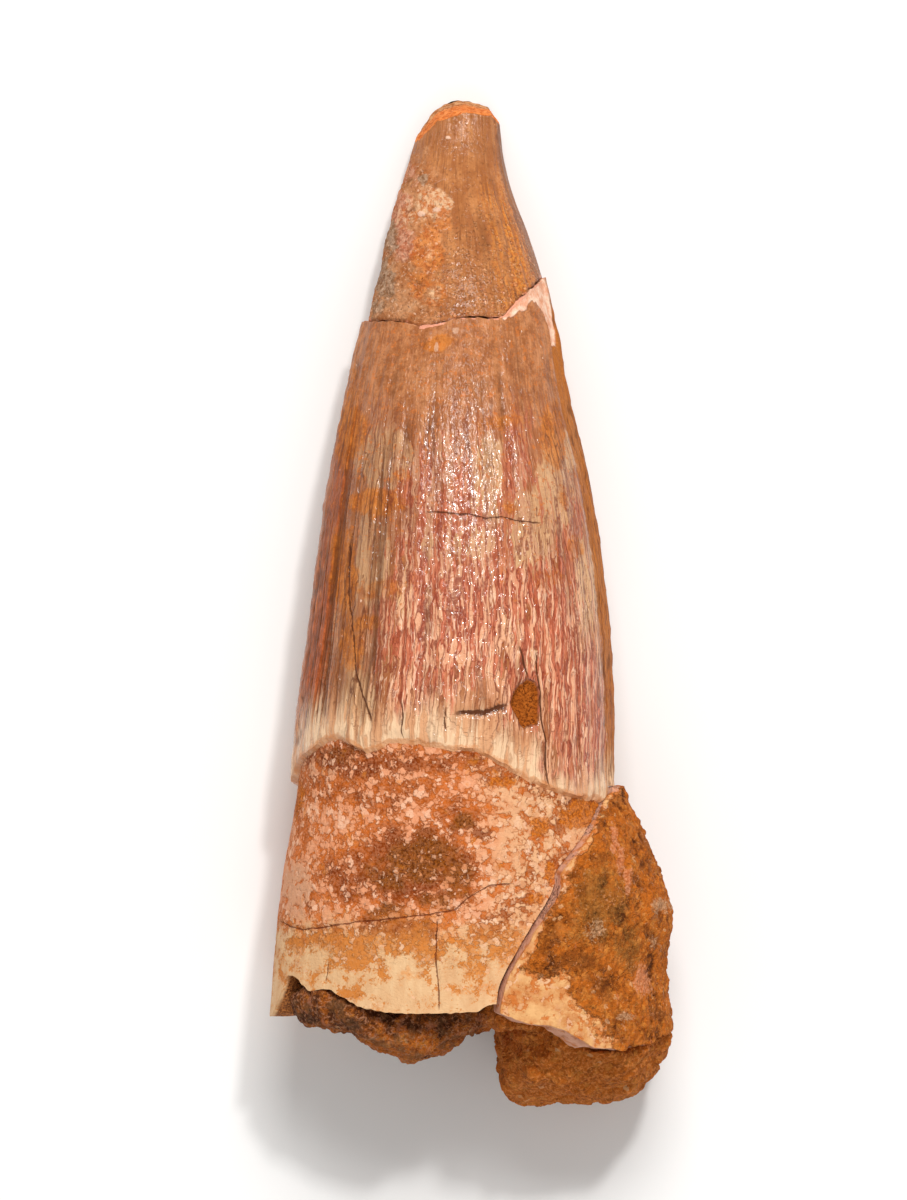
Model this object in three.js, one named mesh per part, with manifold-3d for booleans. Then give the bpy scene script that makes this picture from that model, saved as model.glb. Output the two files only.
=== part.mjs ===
// A fossil Spinosaurus tooth, lying on its inner side with the tip towards +Y.
// Four pieces: the broken tip glued back on, the tooth itself (crown and root), a splinter of the
// root wall pushed outward, and the sandstone that fills the hollow root and holds the splinter.
// Millimetres, +Z up. The origin is on the ground under the middle of the tooth.

import * as THREE from 'three';
import { mergeVertices } from 'three/addons/utils/BufferGeometryUtils.js';
import { ImprovedNoise } from 'three/addons/math/ImprovedNoise.js';
import Module from 'manifold-3d';

const wasm = await Module();
wasm.setup();

// ---------------------------------------------------------------------------------------------
// Driving dimensions
// ---------------------------------------------------------------------------------------------

const FIT_GAP = 0.3; // clear space between neighbouring pieces
const ENAMEL = 0.45; // how far the enamel stands proud of the root
const CARINA = 0.22; // height of the two cutting edges of the crown
const FLUTES = 30; // low ridges round the crown
const FLUTE_DEPTH = 0.12;
const TIP_GROOVES = 15; // worn remains of the flutes on the tip
const TIP_GROOVE_DEPTH = 0.05;
const WALL = 2.7; // thickness of the root wall at its broken end
const CAVITY_TOP = -17; // how far up the pulp cavity reaches
const CAVITY_MOUTH = -33;
const CAVITY_TAPER = 0.45; // width left at the top of the cavity
const ROOT_END = -31.5; // middle of the broken lower end of the root
const BREAK_MIDDLE = 22.7; // middle of the break under the tip
const TIP_END = 41; // the tip before its end is chipped off
const SPLINTER_THICKNESS = 2.6;
const SPLINTER_FOOT = -33.5; // mean height of its lower edge
const CRACK_WIDTH = 0.55;
const BARED_ANGLE = 147; // where the broken wall bares the sandstone
const SPLINTER_TOP = -14.9;
const GROUND = 0;

// Rough surfaces: how far they go up and down, the size of their lumps and which noise they take.
const ROOT_CRUST = { depth: 0.16, size: 3.1, seed: 4 };
const SPLINTER_CRUST = { depth: 0.22, size: 3, seed: 21 };
const TIP_WEAR = { depth: 0.14, smoothDepth: 0.04, size: 2.4, seed: 9, rightSide: 0.3, leftSide: 0.9 };
const FILL_ROCK = { depth: 1.1, size: 3.6, seed: 33 };
const LUMP_ROCK = { depth: 1.1, size: 3.4, seed: 57 };

// The tooth seen from above: y, left edge and right edge. The enamel lies on top of this.
const TOOTH_OUTLINE = [
  [-36.0, -16.2, 13.9],
  [-28.1, -15.6, 13.3],
  [-21.7, -14.9, 12.5],
  [-15.3, -13.8, 10.9],
  [-8.9, -13.2, 10.8],
  [-2.5, -12.3, 10.5],
  [3.9, -11.5, 9.8],
  [10.3, -10.5, 8.7],
  [16.7, -9.3, 7.2],
  [21.5, -8.2, 6.4],
  [24.7, -7.3, 5.75],
  [27.0, -6.6, 5.2],
];

// The tip is glued on a little to the right of where it grew, so it has an outline of its own.
const TIP_OUTLINE = [
  [21.0, -8.3, 7.2],
  [24.7, -7.65, 6.2],
  [29.5, -6.5, 4.6],
  [32.7, -5.75, 3.4],
  [35.9, -4.7, 2.65],
  [41.0, -3.6, 2.1],
];

// Half the depth of the tooth, which is a little flattened from side to side.
const HALF_DEPTH = [
  [-36.0, 11.2],
  [-28.1, 11.1],
  [-21.7, 10.8],
  [-15.3, 10.35],
  [-8.9, 9.9],
  [-2.5, 9.35],
  [3.9, 8.7],
  [10.3, 7.8],
  [16.7, 6.75],
  [21.5, 5.85],
  [27.0, 4.85],
  [32.7, 3.6],
  [35.9, 2.9],
  [41.0, 2.2],
];

// Height of the underside above the ground: flat under the root, arched under the curved crown.
const UNDERSIDE = [
  [-36, -0.1],
  [-28, -0.35],
  [-14, -0.35],
  [-6, 0.05],
  [4, 0.6],
  [14, 1.1],
  [26, 0.8],
  [37, -0.15],
  [41, -0.1],
];

// Lines that run round the tooth. Angles are in degrees: 0 at the right edge, 90 on top, 180 at the
// left edge and 270 underneath.
const ENAMEL_EDGE = [
  [0, -15.9],
  [19, -15.8],
  [46, -14.9],
  [66, -13.4],
  [81, -11.8],
  [95, -11.3],
  [113, -11.0],
  [124, -11.7],
  [139, -10.7],
  [152, -11.5],
  [171, -12.9],
  [181, -14.4],
  [200, -14.0],
  [240, -12.6],
  [290, -13.8],
  [330, -15.2],
  [360, -15.9],
];
const ROOT_EDGE = [
  [0, -32.5],
  [78, -31.6],
  [85, -32.2],
  [107, -32.3],
  [115, -32.1],
  [123, -31.5],
  [133, -30.4],
  [142, -30.6],
  [151, -29.5],
  [157, -29.7],
  [163, -31.5],
  [170, -32.6],
  [190, -32.7],
  [230, -32.3],
  [270, -31.8],
  [310, -33.0],
  [360, -32.5],
];
const TIP_BREAK = [
  [0, 26.1],
  [20, 25.7],
  [47, 24.3],
  [57, 23.4],
  [65, 22.6],
  [84, 22.6],
  [102, 22.2],
  [116, 21.9],
  [130, 22.3],
  [180, 22.4],
  [230, 21.8],
  [270, 22.4],
  [290, 23.0],
  [320, 24.2],
  [340, 25.6],
  [360, 26.1],
];

// The two cracks that bound the splinter: y and the angle of the crack there.
const FRONT_CRACK = [
  [-36, 80],
  [-31.7, 77.5],
  [-29.7, 75.8],
  [-26.1, 67],
  [-22.5, 55.8],
  [-21.1, 54.1],
  [-18.1, 35.9],
  [-16.1, 22.2],
  [-14.9, 12.3],
];
const BACK_CRACK = [
  [-36, -56],
  [-30, -52],
  [-26, -46],
  [-22, -40],
  [-18, -28],
  [-14.9, -14],
];

// The splinter: its lower edge, and how far it has been pushed out at its front crack and its side.
const SPLINTER_EDGE = [
  [-56, -32.5],
  [-20, -33.5],
  [10, -34.0],
  [30, -35.0],
  [46, -35.1],
  [53, -34.3],
  [61, -33.3],
  [71, -32.9],
  [78, -32.1],
];
const PUSHED_AT_CRACK = [
  [-34, 0.9],
  [-26, 1.0],
  [-20, 0.8],
  [-15, 0.3],
];
const PUSHED_AT_SIDE = [
  [-35, 2.2],
  [-32, 2.3],
  [-29, 2.0],
  [-25, 3.0],
  [-22, 2.75],
  [-18.5, 2.2],
  [-15, 1.5],
];
const SIDE_ANGLE = 12; // the splinter is pushed out furthest below this angle
const PUSHED_UNDERNEATH = 0.9; // and this much at its hidden crack

// The lump of sandstone beside the root, seen from above: angle round its centre and radius.
const LUMP_CENTRE = [9.2, -34.5];
const LUMP_TOP = 18;
const LUMP_LEAN = 1.6; // its top leans this far towards the tip
const LUMP_WAIST = 0.45; // share of its height at which it is widest
const LUMP_PROFILE = [
  [0, 0.6],
  [0.2, 0.87],
  [0.45, 1],
  [0.7, 0.93],
  [0.88, 0.74],
  [1, 0.42],
];
const LUMP_OUTLINE = [
  [-180, 7.1],
  [-154, 7.6],
  [-142, 8.0],
  [-129, 7.2],
  [-102, 5.4],
  [-70, 5.7],
  [-50, 6.3],
  [-33, 6.4],
  [-14, 6.6],
  [0, 6.8],
  [13, 6.9],
  [45, 7.4],
  [90, 6.0],
  [135, 6.5],
  [180, 7.1],
];

// The end of the sandstone that fills the root: x and how far it comes out there.
const FILL_END = [
  [-16, -33.1],
  [-12, -33.7],
  [-9.6, -33.9],
  [-8, -34.2],
  [-6.2, -35.4],
  [-3.4, -36.5],
  [-2, -35.5],
  [-0.4, -33.9],
  [2, -33.5],
  [14, -33],
];

// The pit in the crown, seen from above.
const PIT_OUTLINE = [
  [3.1, -7.9],
  [4.4, -6.1],
  [5.4, -6.4],
  [5.4, -9.5],
  [4.2, -9.9],
];
const PIT_DEPTH = 0.7;
const PIT_PLACE = { y: -8, angle: 66 };

// Flat chips off the very tip: a point on each and the way that it faces.
const TIP_CHIPS = [
  { at: [-4.6, 36.6, 2.0], facing: [-0.8, 0.6, 0.15] },
  { at: [0, 39.1, 2.6], facing: [0.02, 0.95, 0.3] },
  { at: [2.0, 38.6, 2.6], facing: [0.75, 0.62, 0.1] },
];

// ---------------------------------------------------------------------------------------------
// Curves and noise
// ---------------------------------------------------------------------------------------------

const noise = new ImprovedNoise();
const degrees = THREE.MathUtils.degToRad;
const lerp = THREE.MathUtils.lerp;
const clamp = THREE.MathUtils.clamp;
const smoothstep = THREE.MathUtils.smoothstep;

// A smooth curve through rows of numbers, keyed on their first column and level past both ends.
function curveThrough(rows, column = 1) {
  const slope = (i) => {
    const before = rows[Math.max(i - 1, 0)];
    const after = rows[Math.min(i + 1, rows.length - 1)];
    return (after[column] - before[column]) / (after[0] - before[0]);
  };
  return (position) => {
    const at = clamp(position, rows[0][0], rows[rows.length - 1][0]);
    const next = Math.max(1, rows.findIndex((row) => row[0] >= at));
    const [start, end] = [rows[next - 1], rows[next]];
    const width = end[0] - start[0];
    const t = (at - start[0]) / width;
    const rise = t * t * (3 - 2 * t);
    const leave = t * (1 - t) * (1 - t) * width * slope(next - 1);
    const arrive = t * t * (t - 1) * width * slope(next);
    return lerp(start[column], end[column], rise) + leave + arrive;
  };
}

// Angles from 0 to 360 degrees for a direction in the section, and back to -180..180.
const fullTurn = (angle) => ((angle % 360) + 360) % 360;
const halfTurn = (angle) => fullTurn(angle + 180) - 180;

// How far a rough surface goes up or down at a point.
function crust({ depth, size, seed }, [x, y, z]) {
  const coarse = noise.noise(x / size + seed, y / size, z / size);
  const fine = noise.noise((2 * x) / size, (2 * y) / size + seed, (2 * z) / size);
  return depth * (coarse + 0.5 * fine);
}

const enamelEdge = curveThrough(ENAMEL_EDGE);
const rootEdge = curveThrough(ROOT_EDGE);
const tipBreak = curveThrough(TIP_BREAK);
const frontCrack = curveThrough(FRONT_CRACK);
const backCrack = curveThrough(BACK_CRACK);
const splinterEdge = curveThrough(SPLINTER_EDGE);
const pushedAtCrack = curveThrough(PUSHED_AT_CRACK);
const pushedAtSide = curveThrough(PUSHED_AT_SIDE);
const underside = curveThrough(UNDERSIDE);
const halfDepth = curveThrough(HALF_DEPTH);
const lumpRadius = curveThrough(LUMP_OUTLINE);
const lumpProfile = curveThrough(LUMP_PROFILE);
const fillEnd = curveThrough(FILL_END);

// The section of the tooth at y: its centre and half sizes.
function sectionOf(outline) {
  const left = curveThrough(outline, 1);
  const right = curveThrough(outline, 2);
  return (y) => {
    const width = (right(y) - left(y)) / 2;
    const depth = halfDepth(y);
    return { x: (left(y) + right(y)) / 2, z: depth + underside(y), width, depth };
  };
}

const toothSection = sectionOf(TOOTH_OUTLINE);
const tipSection = sectionOf(TIP_OUTLINE);

// A point of a section: out is measured from its rim, scale shrinks the whole section.
function onSection(section, y, angle, out = 0, scale = 1) {
  const turn = degrees(angle);
  const { x, z, width, depth } = section(y);
  return [
    x + (width + out) * scale * Math.cos(turn),
    y,
    z + (depth + out) * scale * Math.sin(turn),
  ];
}

// ---------------------------------------------------------------------------------------------
// Solids
// ---------------------------------------------------------------------------------------------

function toSolid(geometry) {
  const bare = geometry.clone();
  bare.deleteAttribute('normal');
  bare.deleteAttribute('uv');
  const merged = mergeVertices(bare, 1e-4);
  const mesh = new wasm.Mesh({
    numProp: 3,
    vertProperties: new Float32Array(merged.attributes.position.array),
    triVerts: new Uint32Array(merged.index.array),
  });
  return new wasm.Manifold(mesh);
}

function toGeometry(solid) {
  const mesh = solid.getMesh();
  const geometry = new THREE.BufferGeometry();
  geometry.setAttribute('position', new THREE.BufferAttribute(mesh.vertProperties, 3));
  geometry.setIndex(new THREE.BufferAttribute(mesh.triVerts, 1));
  geometry.computeVertexNormals();
  return geometry;
}

// Moves every vertex of a geometry by a rule.
function shaped(geometry, place) {
  const position = geometry.attributes.position;
  for (let i = 0; i < position.count; i += 1) {
    const moved = place(position.getX(i), position.getY(i), position.getZ(i));
    position.setXYZ(i, ...moved);
  }
  return toSolid(geometry);
}

// A closed stack of rings along Y. ring(step, angle) gives the point of the rim on that ring, and
// middle(step) the point that closes the first and last ring.
function ringStack(rings, around, ring, middle) {
  const stack = new THREE.CylinderGeometry(1, 1, 1, around, rings);
  return shaped(stack, (x, y, z) => {
    const step = Math.round((y + 0.5) * rings);
    if (Math.hypot(x, z) < 0.5) return middle(step);
    const wedge = 360 / around;
    const angle = Math.round(THREE.MathUtils.radToDeg(Math.atan2(z, x)) / wedge) * wedge;
    return ring(step, fullTurn(angle));
  });
}

// A closed curved slab. place(across, along, out) takes shares from 0 to 1.
function slab(across, along, out, place) {
  const box = new THREE.BoxGeometry(1, 1, 1, across, along, out);
  return shaped(box, (x, y, z) => place(x + 0.5, y + 0.5, z + 0.5));
}

// A half space as a large block behind a flat face.
function cutBehind({ at, facing }) {
  const reach = 120;
  const block = new THREE.BoxGeometry(reach, reach, reach);
  block.translate(0, 0, reach / 2);
  const turn = new THREE.Quaternion().setFromUnitVectors(
    new THREE.Vector3(0, 0, 1),
    new THREE.Vector3(...facing).normalize(),
  );
  block.applyQuaternion(turn);
  block.translate(...at);
  return toSolid(block);
}

const belowGround = cutBehind({ at: [0, 0, GROUND], facing: [0, 0, -1] });

// ---------------------------------------------------------------------------------------------
// The tooth: crown and root
// ---------------------------------------------------------------------------------------------

const BODY_MESH = { around: 2 * FLUTES, root: 11, crown: 18 };
const KEEP_OUT_MESH = { around: 24, root: 4, crown: 1 };
const CAVITY_MESH = { around: 24, rings: 7 };
const GAP_MESH = { across: 6, along: 22 };
const LEDGE = 0.12; // half the length of the slope from the enamel down to the root

// How far the surface stands out from the bare outline.
function toothRelief(y, angle) {
  const above = y - enamelEdge(angle);
  if (above < 0) return crust(ROOT_CRUST, onSection(toothSection, y, angle));
  const flutesStart = smoothstep(above, 1, 5);
  const flutesEnd = 1 - smoothstep(y, 17, 22);
  const flutes = FLUTE_DEPTH * flutesStart * flutesEnd * Math.cos(degrees(angle * FLUTES));
  const sideways = Math.abs(Math.cos(degrees(angle)));
  const carina = CARINA * smoothstep(sideways, 0.985, 1);
  return ENAMEL + flutes + carina;
}

// Rings follow the broken root edge, the enamel edge and the break under the tip. grown widens the
// solid all round, to cut its neighbours with room to spare.
function toothBlank(grown, { around, root, crown }) {
  const rings = root + 1 + crown;
  const heightAt = (step, angle) => {
    const bottom = rootEdge(angle) - grown;
    const edge = enamelEdge(angle);
    if (step <= root) return lerp(bottom, edge - LEDGE, step / root);
    return lerp(edge + LEDGE, tipBreak(angle) + grown, (step - root - 1) / crown);
  };
  const ring = (step, angle) => {
    const y = heightAt(step, angle);
    return onSection(toothSection, y, angle, toothRelief(y, angle) + grown);
  };
  const middle = (step) => {
    const y = step === 0 ? ROOT_END - grown : BREAK_MIDDLE + grown;
    return onSection(toothSection, y, 0, 0, 0);
  };
  return ringStack(rings, around, ring, middle);
}

// The cavity narrows from its mouth to its top.
function cavityScale(y) {
  const up = clamp((y - CAVITY_MOUTH) / (CAVITY_TOP - CAVITY_MOUTH), 0, 1);
  return lerp(1, CAVITY_TAPER, up * up);
}

// The pulp cavity, open at the root.
function cavity(grown) {
  const { around, rings } = CAVITY_MESH;
  const pastMouth = 4;
  const start = CAVITY_MOUTH - pastMouth;
  const end = CAVITY_TOP + grown;
  const heightAt = (step) => lerp(start, end, step / rings);
  const ring = (step, angle) => {
    const y = heightAt(step);
    return onSection(toothSection, y, angle, grown - WALL, cavityScale(y));
  };
  const middle = (step) => onSection(toothSection, heightAt(step), 0, 0, 0);
  return ringStack(rings, around, ring, middle);
}

// The gap that the splinter left in the root wall, cut from inside the cavity to well outside.
function splinterGap(grown) {
  const inside = -WALL - 4;
  const outside = 3;
  const start = TOOTH_OUTLINE[0][0];
  const end = SPLINTER_TOP + FIT_GAP + grown;
  return slab(GAP_MESH.across, GAP_MESH.along, 1, (across, along, out) => {
    const y = lerp(start, end, along);
    const wider = THREE.MathUtils.radToDeg(grown / toothSection(y).width);
    const angle = lerp(frontCrack(y) + wider, backCrack(y) - wider, across);
    return onSection(toothSection, y, angle, lerp(inside, outside, out));
  });
}

function pit() {
  const outline = new THREE.Shape(PIT_OUTLINE.map(([x, y]) => new THREE.Vector2(x, y)));
  const outOfTheTop = 10;
  const geometry = new THREE.ExtrudeGeometry(outline, { depth: outOfTheTop, bevelEnabled: false });
  const [, , surface] = onSection(toothSection, PIT_PLACE.y, PIT_PLACE.angle, ENAMEL);
  geometry.translate(0, 0, surface - PIT_DEPTH);
  return toSolid(geometry);
}

const toothBody = toothBlank(0, BODY_MESH)
  .subtract(cavity(0))
  .subtract(splinterGap(0))
  .subtract(pit())
  .subtract(belowGround);

// The same shape with room round it, for the sandstone to keep clear of.
const KEEP_OUT = { outside: 1.5 * FIT_GAP, cavity: 0.9 * FIT_GAP, splinter: 1.3 * FIT_GAP };
const toothKeepOut = toothBlank(KEEP_OUT.outside, KEEP_OUT_MESH)
  .subtract(cavity(-KEEP_OUT.cavity))
  .subtract(splinterGap(-FIT_GAP));

// ---------------------------------------------------------------------------------------------
// The tip
// ---------------------------------------------------------------------------------------------

const TIP_MESH = { around: 36, rings: 13 };
const ROUGH_SIDE = 160; // the rough worn side of the tip

function crownTip() {
  const { around, rings } = TIP_MESH;
  const heightAt = (step, angle) => lerp(tipBreak(angle) + FIT_GAP, TIP_END, step / rings);
  const ring = (step, angle) => {
    const y = heightAt(step, angle);
    const facing = Math.cos(degrees(angle - ROUGH_SIDE));
    const leftSide = smoothstep(facing, TIP_WEAR.rightSide, TIP_WEAR.leftSide);
    const depth = lerp(TIP_WEAR.smoothDepth, TIP_WEAR.depth, leftSide);
    const worn = crust({ ...TIP_WEAR, depth }, onSection(tipSection, y, angle));
    const grooves = TIP_GROOVE_DEPTH * Math.cos(degrees(angle * TIP_GROOVES));
    return onSection(tipSection, y, angle, worn + grooves);
  };
  const middle = (step) => {
    const y = step === 0 ? BREAK_MIDDLE + FIT_GAP : TIP_END;
    return onSection(tipSection, y, 0, 0, 0);
  };
  const blank = ringStack(rings, around, ring, middle);
  return TIP_CHIPS.reduce((solid, chip) => solid.subtract(cutBehind(chip)), blank).subtract(belowGround);
}

// ---------------------------------------------------------------------------------------------
// The splinter of root wall
// ---------------------------------------------------------------------------------------------

// How far the splinter has been pushed out at a place on the root.
function pushedOut(y, angle) {
  const front = frontCrack(y);
  if (angle >= SIDE_ANGLE) {
    const share = clamp((front - angle) / Math.max(front - SIDE_ANGLE, 1), 0, 1);
    return lerp(pushedAtCrack(y), pushedAtSide(y), share);
  }
  const share = clamp((SIDE_ANGLE - angle) / (SIDE_ANGLE - backCrack(y)), 0, 1);
  return lerp(pushedAtSide(y), PUSHED_UNDERNEATH, share * share);
}

const SPLINTER_MESH = { across: 16, along: 17 };
const SPLINTER_KEEP_OUT_MESH = { across: 8, along: 9 };
const ROOT_RADIUS = 14; // about, to turn the width of the crack into an angle

function splinter(grown, { across, along }) {
  const aside = THREE.MathUtils.radToDeg((CRACK_WIDTH - grown) / ROOT_RADIUS);
  const top = SPLINTER_TOP + grown;
  return slab(across, along, 1, (u, v, out) => {
    const roughY = lerp(SPLINTER_FOOT, top, v);
    const roughAngle = lerp(frontCrack(roughY) - aside, backCrack(roughY) + aside, u);
    const y = lerp(splinterEdge(roughAngle) - grown, top, v);
    const angle = lerp(frontCrack(y) - aside, backCrack(y) + aside, u);
    const sand = out === 1 ? crust(SPLINTER_CRUST, onSection(toothSection, y, angle)) : 0;
    const outer = pushedOut(y, angle) + sand + grown;
    const inner = pushedOut(y, angle) - SPLINTER_THICKNESS - grown;
    return onSection(toothSection, y, angle, lerp(inner, outer, out));
  });
}

const rootFragment = splinter(0, SPLINTER_MESH).subtract(belowGround);
const splinterKeepOut = splinter(KEEP_OUT.splinter, SPLINTER_KEEP_OUT_MESH);

// ---------------------------------------------------------------------------------------------
// The sandstone
// ---------------------------------------------------------------------------------------------

// The fill of the cavity: rings up the cavity, and a rounded rough end below them. Where the wall is
// broken away at the upper left, the fill comes out to the old rim.
const FILL_MESH = { around: 26, inside: 6, end: 6 };
const FILL_SHOULDER = -30.4; // below here the fill rounds over into its rough end
const FILL_MIDDLE = -34.5;
const FILL_BLUNTNESS = 0.6;

function cavityFill() {
  const { around, inside, end } = FILL_MESH;
  const top = CAVITY_TOP - FIT_GAP;
  const ring = (step, angle) => {
    const past = clamp(1 - step / end, 0, 1);
    const upperLeft = smoothstep(Math.cos(degrees(angle - BARED_ANGLE)), 0.7, 0.95);
    const narrow = Math.sqrt(1 - 0.92 * past ** lerp(2, 4, upperLeft));
    const flare = step <= end + 1 ? upperLeft * WALL : 0;
    const reach = fillEnd(onSection(toothSection, FILL_SHOULDER, angle, -WALL, narrow)[0]);
    const rounded = Math.sin((past * Math.PI) / 2) ** FILL_BLUNTNESS;
    const y = step >= end
      ? lerp(FILL_SHOULDER, top, (step - end) / inside)
      : lerp(FILL_SHOULDER, reach, rounded);
    const place = onSection(toothSection, y, angle, flare - WALL - FIT_GAP, narrow * cavityScale(y));
    const worn = step < end ? Math.abs(crust(FILL_ROCK, place)) : 0;
    return [place[0], y + worn, place[2]];
  };
  const middle = (step) => onSection(toothSection, step === 0 ? FILL_MIDDLE : top, 0, 0, 0);
  return ringStack(inside + end, around, ring, middle);
}

// The sandstone behind the splinter, which ties the lump to the fill.
function behindSplinter() {
  const steps = 6;
  const aside = 4;
  const inner = -WALL - 3.5;
  const top = SPLINTER_TOP - 5;
  return slab(steps, steps, 1, (u, v, out) => {
    const y = lerp(SPLINTER_FOOT, top, v);
    const angle = lerp(frontCrack(y) - aside, backCrack(y) + aside, u);
    const outer = pushedOut(y, angle) - SPLINTER_THICKNESS - FIT_GAP;
    return onSection(toothSection, y, angle, lerp(inner, outer, out));
  });
}

// The lump: rings stacked upwards, widest low down, with a flat underside.
const LUMP_MESH = { around: 26, levels: 8 };

function lump() {
  const blank = new THREE.CylinderGeometry(1, 1, 1, LUMP_MESH.around, LUMP_MESH.levels);
  blank.rotateX(Math.PI / 2);
  return shaped(blank, (x, y, z) => {
    const up = z + 0.5;
    const height = up * LUMP_TOP;
    const centreX = LUMP_CENTRE[0];
    const centreY = LUMP_CENTRE[1] + LUMP_LEAN * (up - LUMP_WAIST);
    if (Math.hypot(x, y) < 0.5) return [centreX, centreY, height];
    const turn = Math.atan2(y, x);
    const radius = lumpRadius(halfTurn(THREE.MathUtils.radToDeg(turn))) * lumpProfile(up);
    const bare = [centreX + radius * Math.cos(turn), centreY + radius * Math.sin(turn), height];
    const worn = radius - Math.abs(crust(LUMP_ROCK, bare));
    return [centreX + worn * Math.cos(turn), centreY + worn * Math.sin(turn), height];
  });
}

const sandstone = cavityFill()
  .add(behindSplinter())
  .add(lump())
  .subtract(toothKeepOut)
  .subtract(splinterKeepOut)
  .subtract(belowGround);

// ---------------------------------------------------------------------------------------------
// The object
// ---------------------------------------------------------------------------------------------

function piece(name, solid, color, roughness) {
  const material = new THREE.MeshStandardMaterial({ color, roughness, metalness: 0, flatShading: true });
  const mesh = new THREE.Mesh(toGeometry(solid), material);
  mesh.name = name;
  return mesh;
}

const tooth = new THREE.Group();
tooth.name = 'spinosaurus_tooth';
tooth.add(piece('crown_tip', crownTip(), 0xbe7d4b, 0.45));
tooth.add(piece('tooth_body', toothBody, 0xc8825a, 0.4));
tooth.add(piece('root_fragment', rootFragment, 0xa8602a, 0.9));
tooth.add(piece('sandstone_matrix', sandstone, 0x7a4520, 0.95));

export default tooth;
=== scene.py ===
# %% [markdown]
# # A fossil tooth of Spinosaurus
# A tall, almost straight cone of enamel on a thick root. It lies on its inner side with the tip towards +Y.
# It was broken and mended: the tip is glued on, a splinter of the root wall has been pushed outward, and
# hard sand fills the hollow root and holds the splinter. So there are four pieces: the tooth, the glued
# tip, the splinter and the sand. The plain model in the frame has their true shapes, and this file gives
# each one its skin: first a fine mesh with real relief, then a material.

import bmesh
import bpy
import numpy as np
from mathutils import Matrix, Vector


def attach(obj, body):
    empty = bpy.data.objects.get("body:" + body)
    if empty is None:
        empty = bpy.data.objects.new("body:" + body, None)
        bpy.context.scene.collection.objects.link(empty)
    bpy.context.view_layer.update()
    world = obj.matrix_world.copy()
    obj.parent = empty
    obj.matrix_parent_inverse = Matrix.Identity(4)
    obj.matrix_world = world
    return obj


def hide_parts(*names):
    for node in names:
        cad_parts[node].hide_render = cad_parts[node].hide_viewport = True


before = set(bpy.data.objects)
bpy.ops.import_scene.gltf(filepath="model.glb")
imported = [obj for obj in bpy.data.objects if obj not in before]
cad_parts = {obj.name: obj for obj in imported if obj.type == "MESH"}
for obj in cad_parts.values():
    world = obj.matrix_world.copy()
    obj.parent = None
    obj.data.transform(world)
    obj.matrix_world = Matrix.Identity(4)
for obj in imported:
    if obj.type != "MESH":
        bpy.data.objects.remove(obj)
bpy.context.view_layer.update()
MM = 0.001

# %% [markdown]
# ## The room
# A fossil dealer shows a tooth lying on white, seen from straight above. A world background alone would
# light it flat, and a sun would cut hard shadows. So the world gives a pale fill, and a broad area lamp on
# the tip's side gives the direction: faces turned towards the root end go dark. A weak one opens the
# shadows there. A small bright one stands where its mirror image falls on the middle of the crown, and
# makes the wet glints. The plain colour transform keeps the floor white and the reds as red as they are
# mixed.

# %% Floor, lamps and camera
scene = bpy.context.scene
scene.view_settings.view_transform = "Standard"


def colour(red, green, blue):
    """A colour as a screen shows it, 0 to 255 each, in the light values that Blender works in."""
    shares = [channel / 255 for channel in (red, green, blue)]
    light = [share / 12.92 if share < 0.04 else ((share + 0.055) / 1.055) ** 2.4 for share in shares]
    return (*light, 1.0)


FLOOR_HALF = 1.5
FLOOR_DROP = 0.02 * MM
FLOOR_TINT = colour(244, 243, 241)
floor_mesh = bpy.data.meshes.new("floor")
floor_corners = [(x * FLOOR_HALF, y * FLOOR_HALF, 0) for x, y in ((-1, -1), (1, -1), (1, 1), (-1, 1))]
floor_mesh.from_pydata(floor_corners, [], [(0, 1, 2, 3)])
floor = bpy.data.objects.new("floor", floor_mesh)
floor.location.z = -FLOOR_DROP
scene.collection.objects.link(floor)
floor_finish = bpy.data.materials.new("pale floor")
floor_finish.use_nodes = True
floor_shader = floor_finish.node_tree.nodes["Principled BSDF"]
floor_shader.inputs["Base Color"].default_value = FLOOR_TINT
floor_shader.inputs["Roughness"].default_value = 0.9
floor_mesh.materials.append(floor_finish)

FILL_COLOUR = (1.0, 0.99, 0.98, 1.0)
FILL_STRENGTH = 0.4
world = bpy.data.worlds.new("soft room")
world.use_nodes = True
world.node_tree.nodes["Background"].inputs["Color"].default_value = FILL_COLOUR
world.node_tree.nodes["Background"].inputs["Strength"].default_value = FILL_STRENGTH
scene.world = world

# place in metres, size in metres, power in watts
LAMPS = {
    "broad lamp by the tip": ((0.04, 0.6, 0.85), 0.4, 5.9),
    "weak lamp by the root": ((0.05, -0.55, 0.75), 0.5, 1.5),
    "small bright lamp": ((0.19, 0.5, 0.85), 0.07, 3.2),
}
for lamp_name, (place, size, power) in LAMPS.items():
    lamp_data = bpy.data.lights.new(lamp_name, "AREA")
    lamp_data.size = size
    lamp_data.energy = power
    lamp = bpy.data.objects.new(lamp_name, lamp_data)
    lamp.location = place
    lamp.rotation_euler = (-Vector(place)).to_track_quat("-Z", "Y").to_euler()
    scene.collection.objects.link(lamp)

CAMERA_LENS = 301.2
CAMERA_SENSOR = 36
CAMERA_PLACE = Vector((-1.32, 0.2, 810)) * MM
camera_data = bpy.data.cameras.new("camera above")
camera_data.lens = CAMERA_LENS
camera_data.sensor_width = CAMERA_SENSOR
camera = bpy.data.objects.new("camera above", camera_data)
camera.location = CAMERA_PLACE
scene.collection.objects.link(camera)
scene.camera = camera
print("lamps:", len(LAMPS), "camera height in mm:", round(camera.location.z / MM))

# %% [markdown]
# ## Measures
# The same named measures as the plain model, in millimetres and degrees. The tooth is given by its left and
# right edge at each height, by half its depth, and by the lines that run round it. An angle of 0 is the
# right edge, 90 the top, 180 the left edge and 270 underneath.

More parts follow.
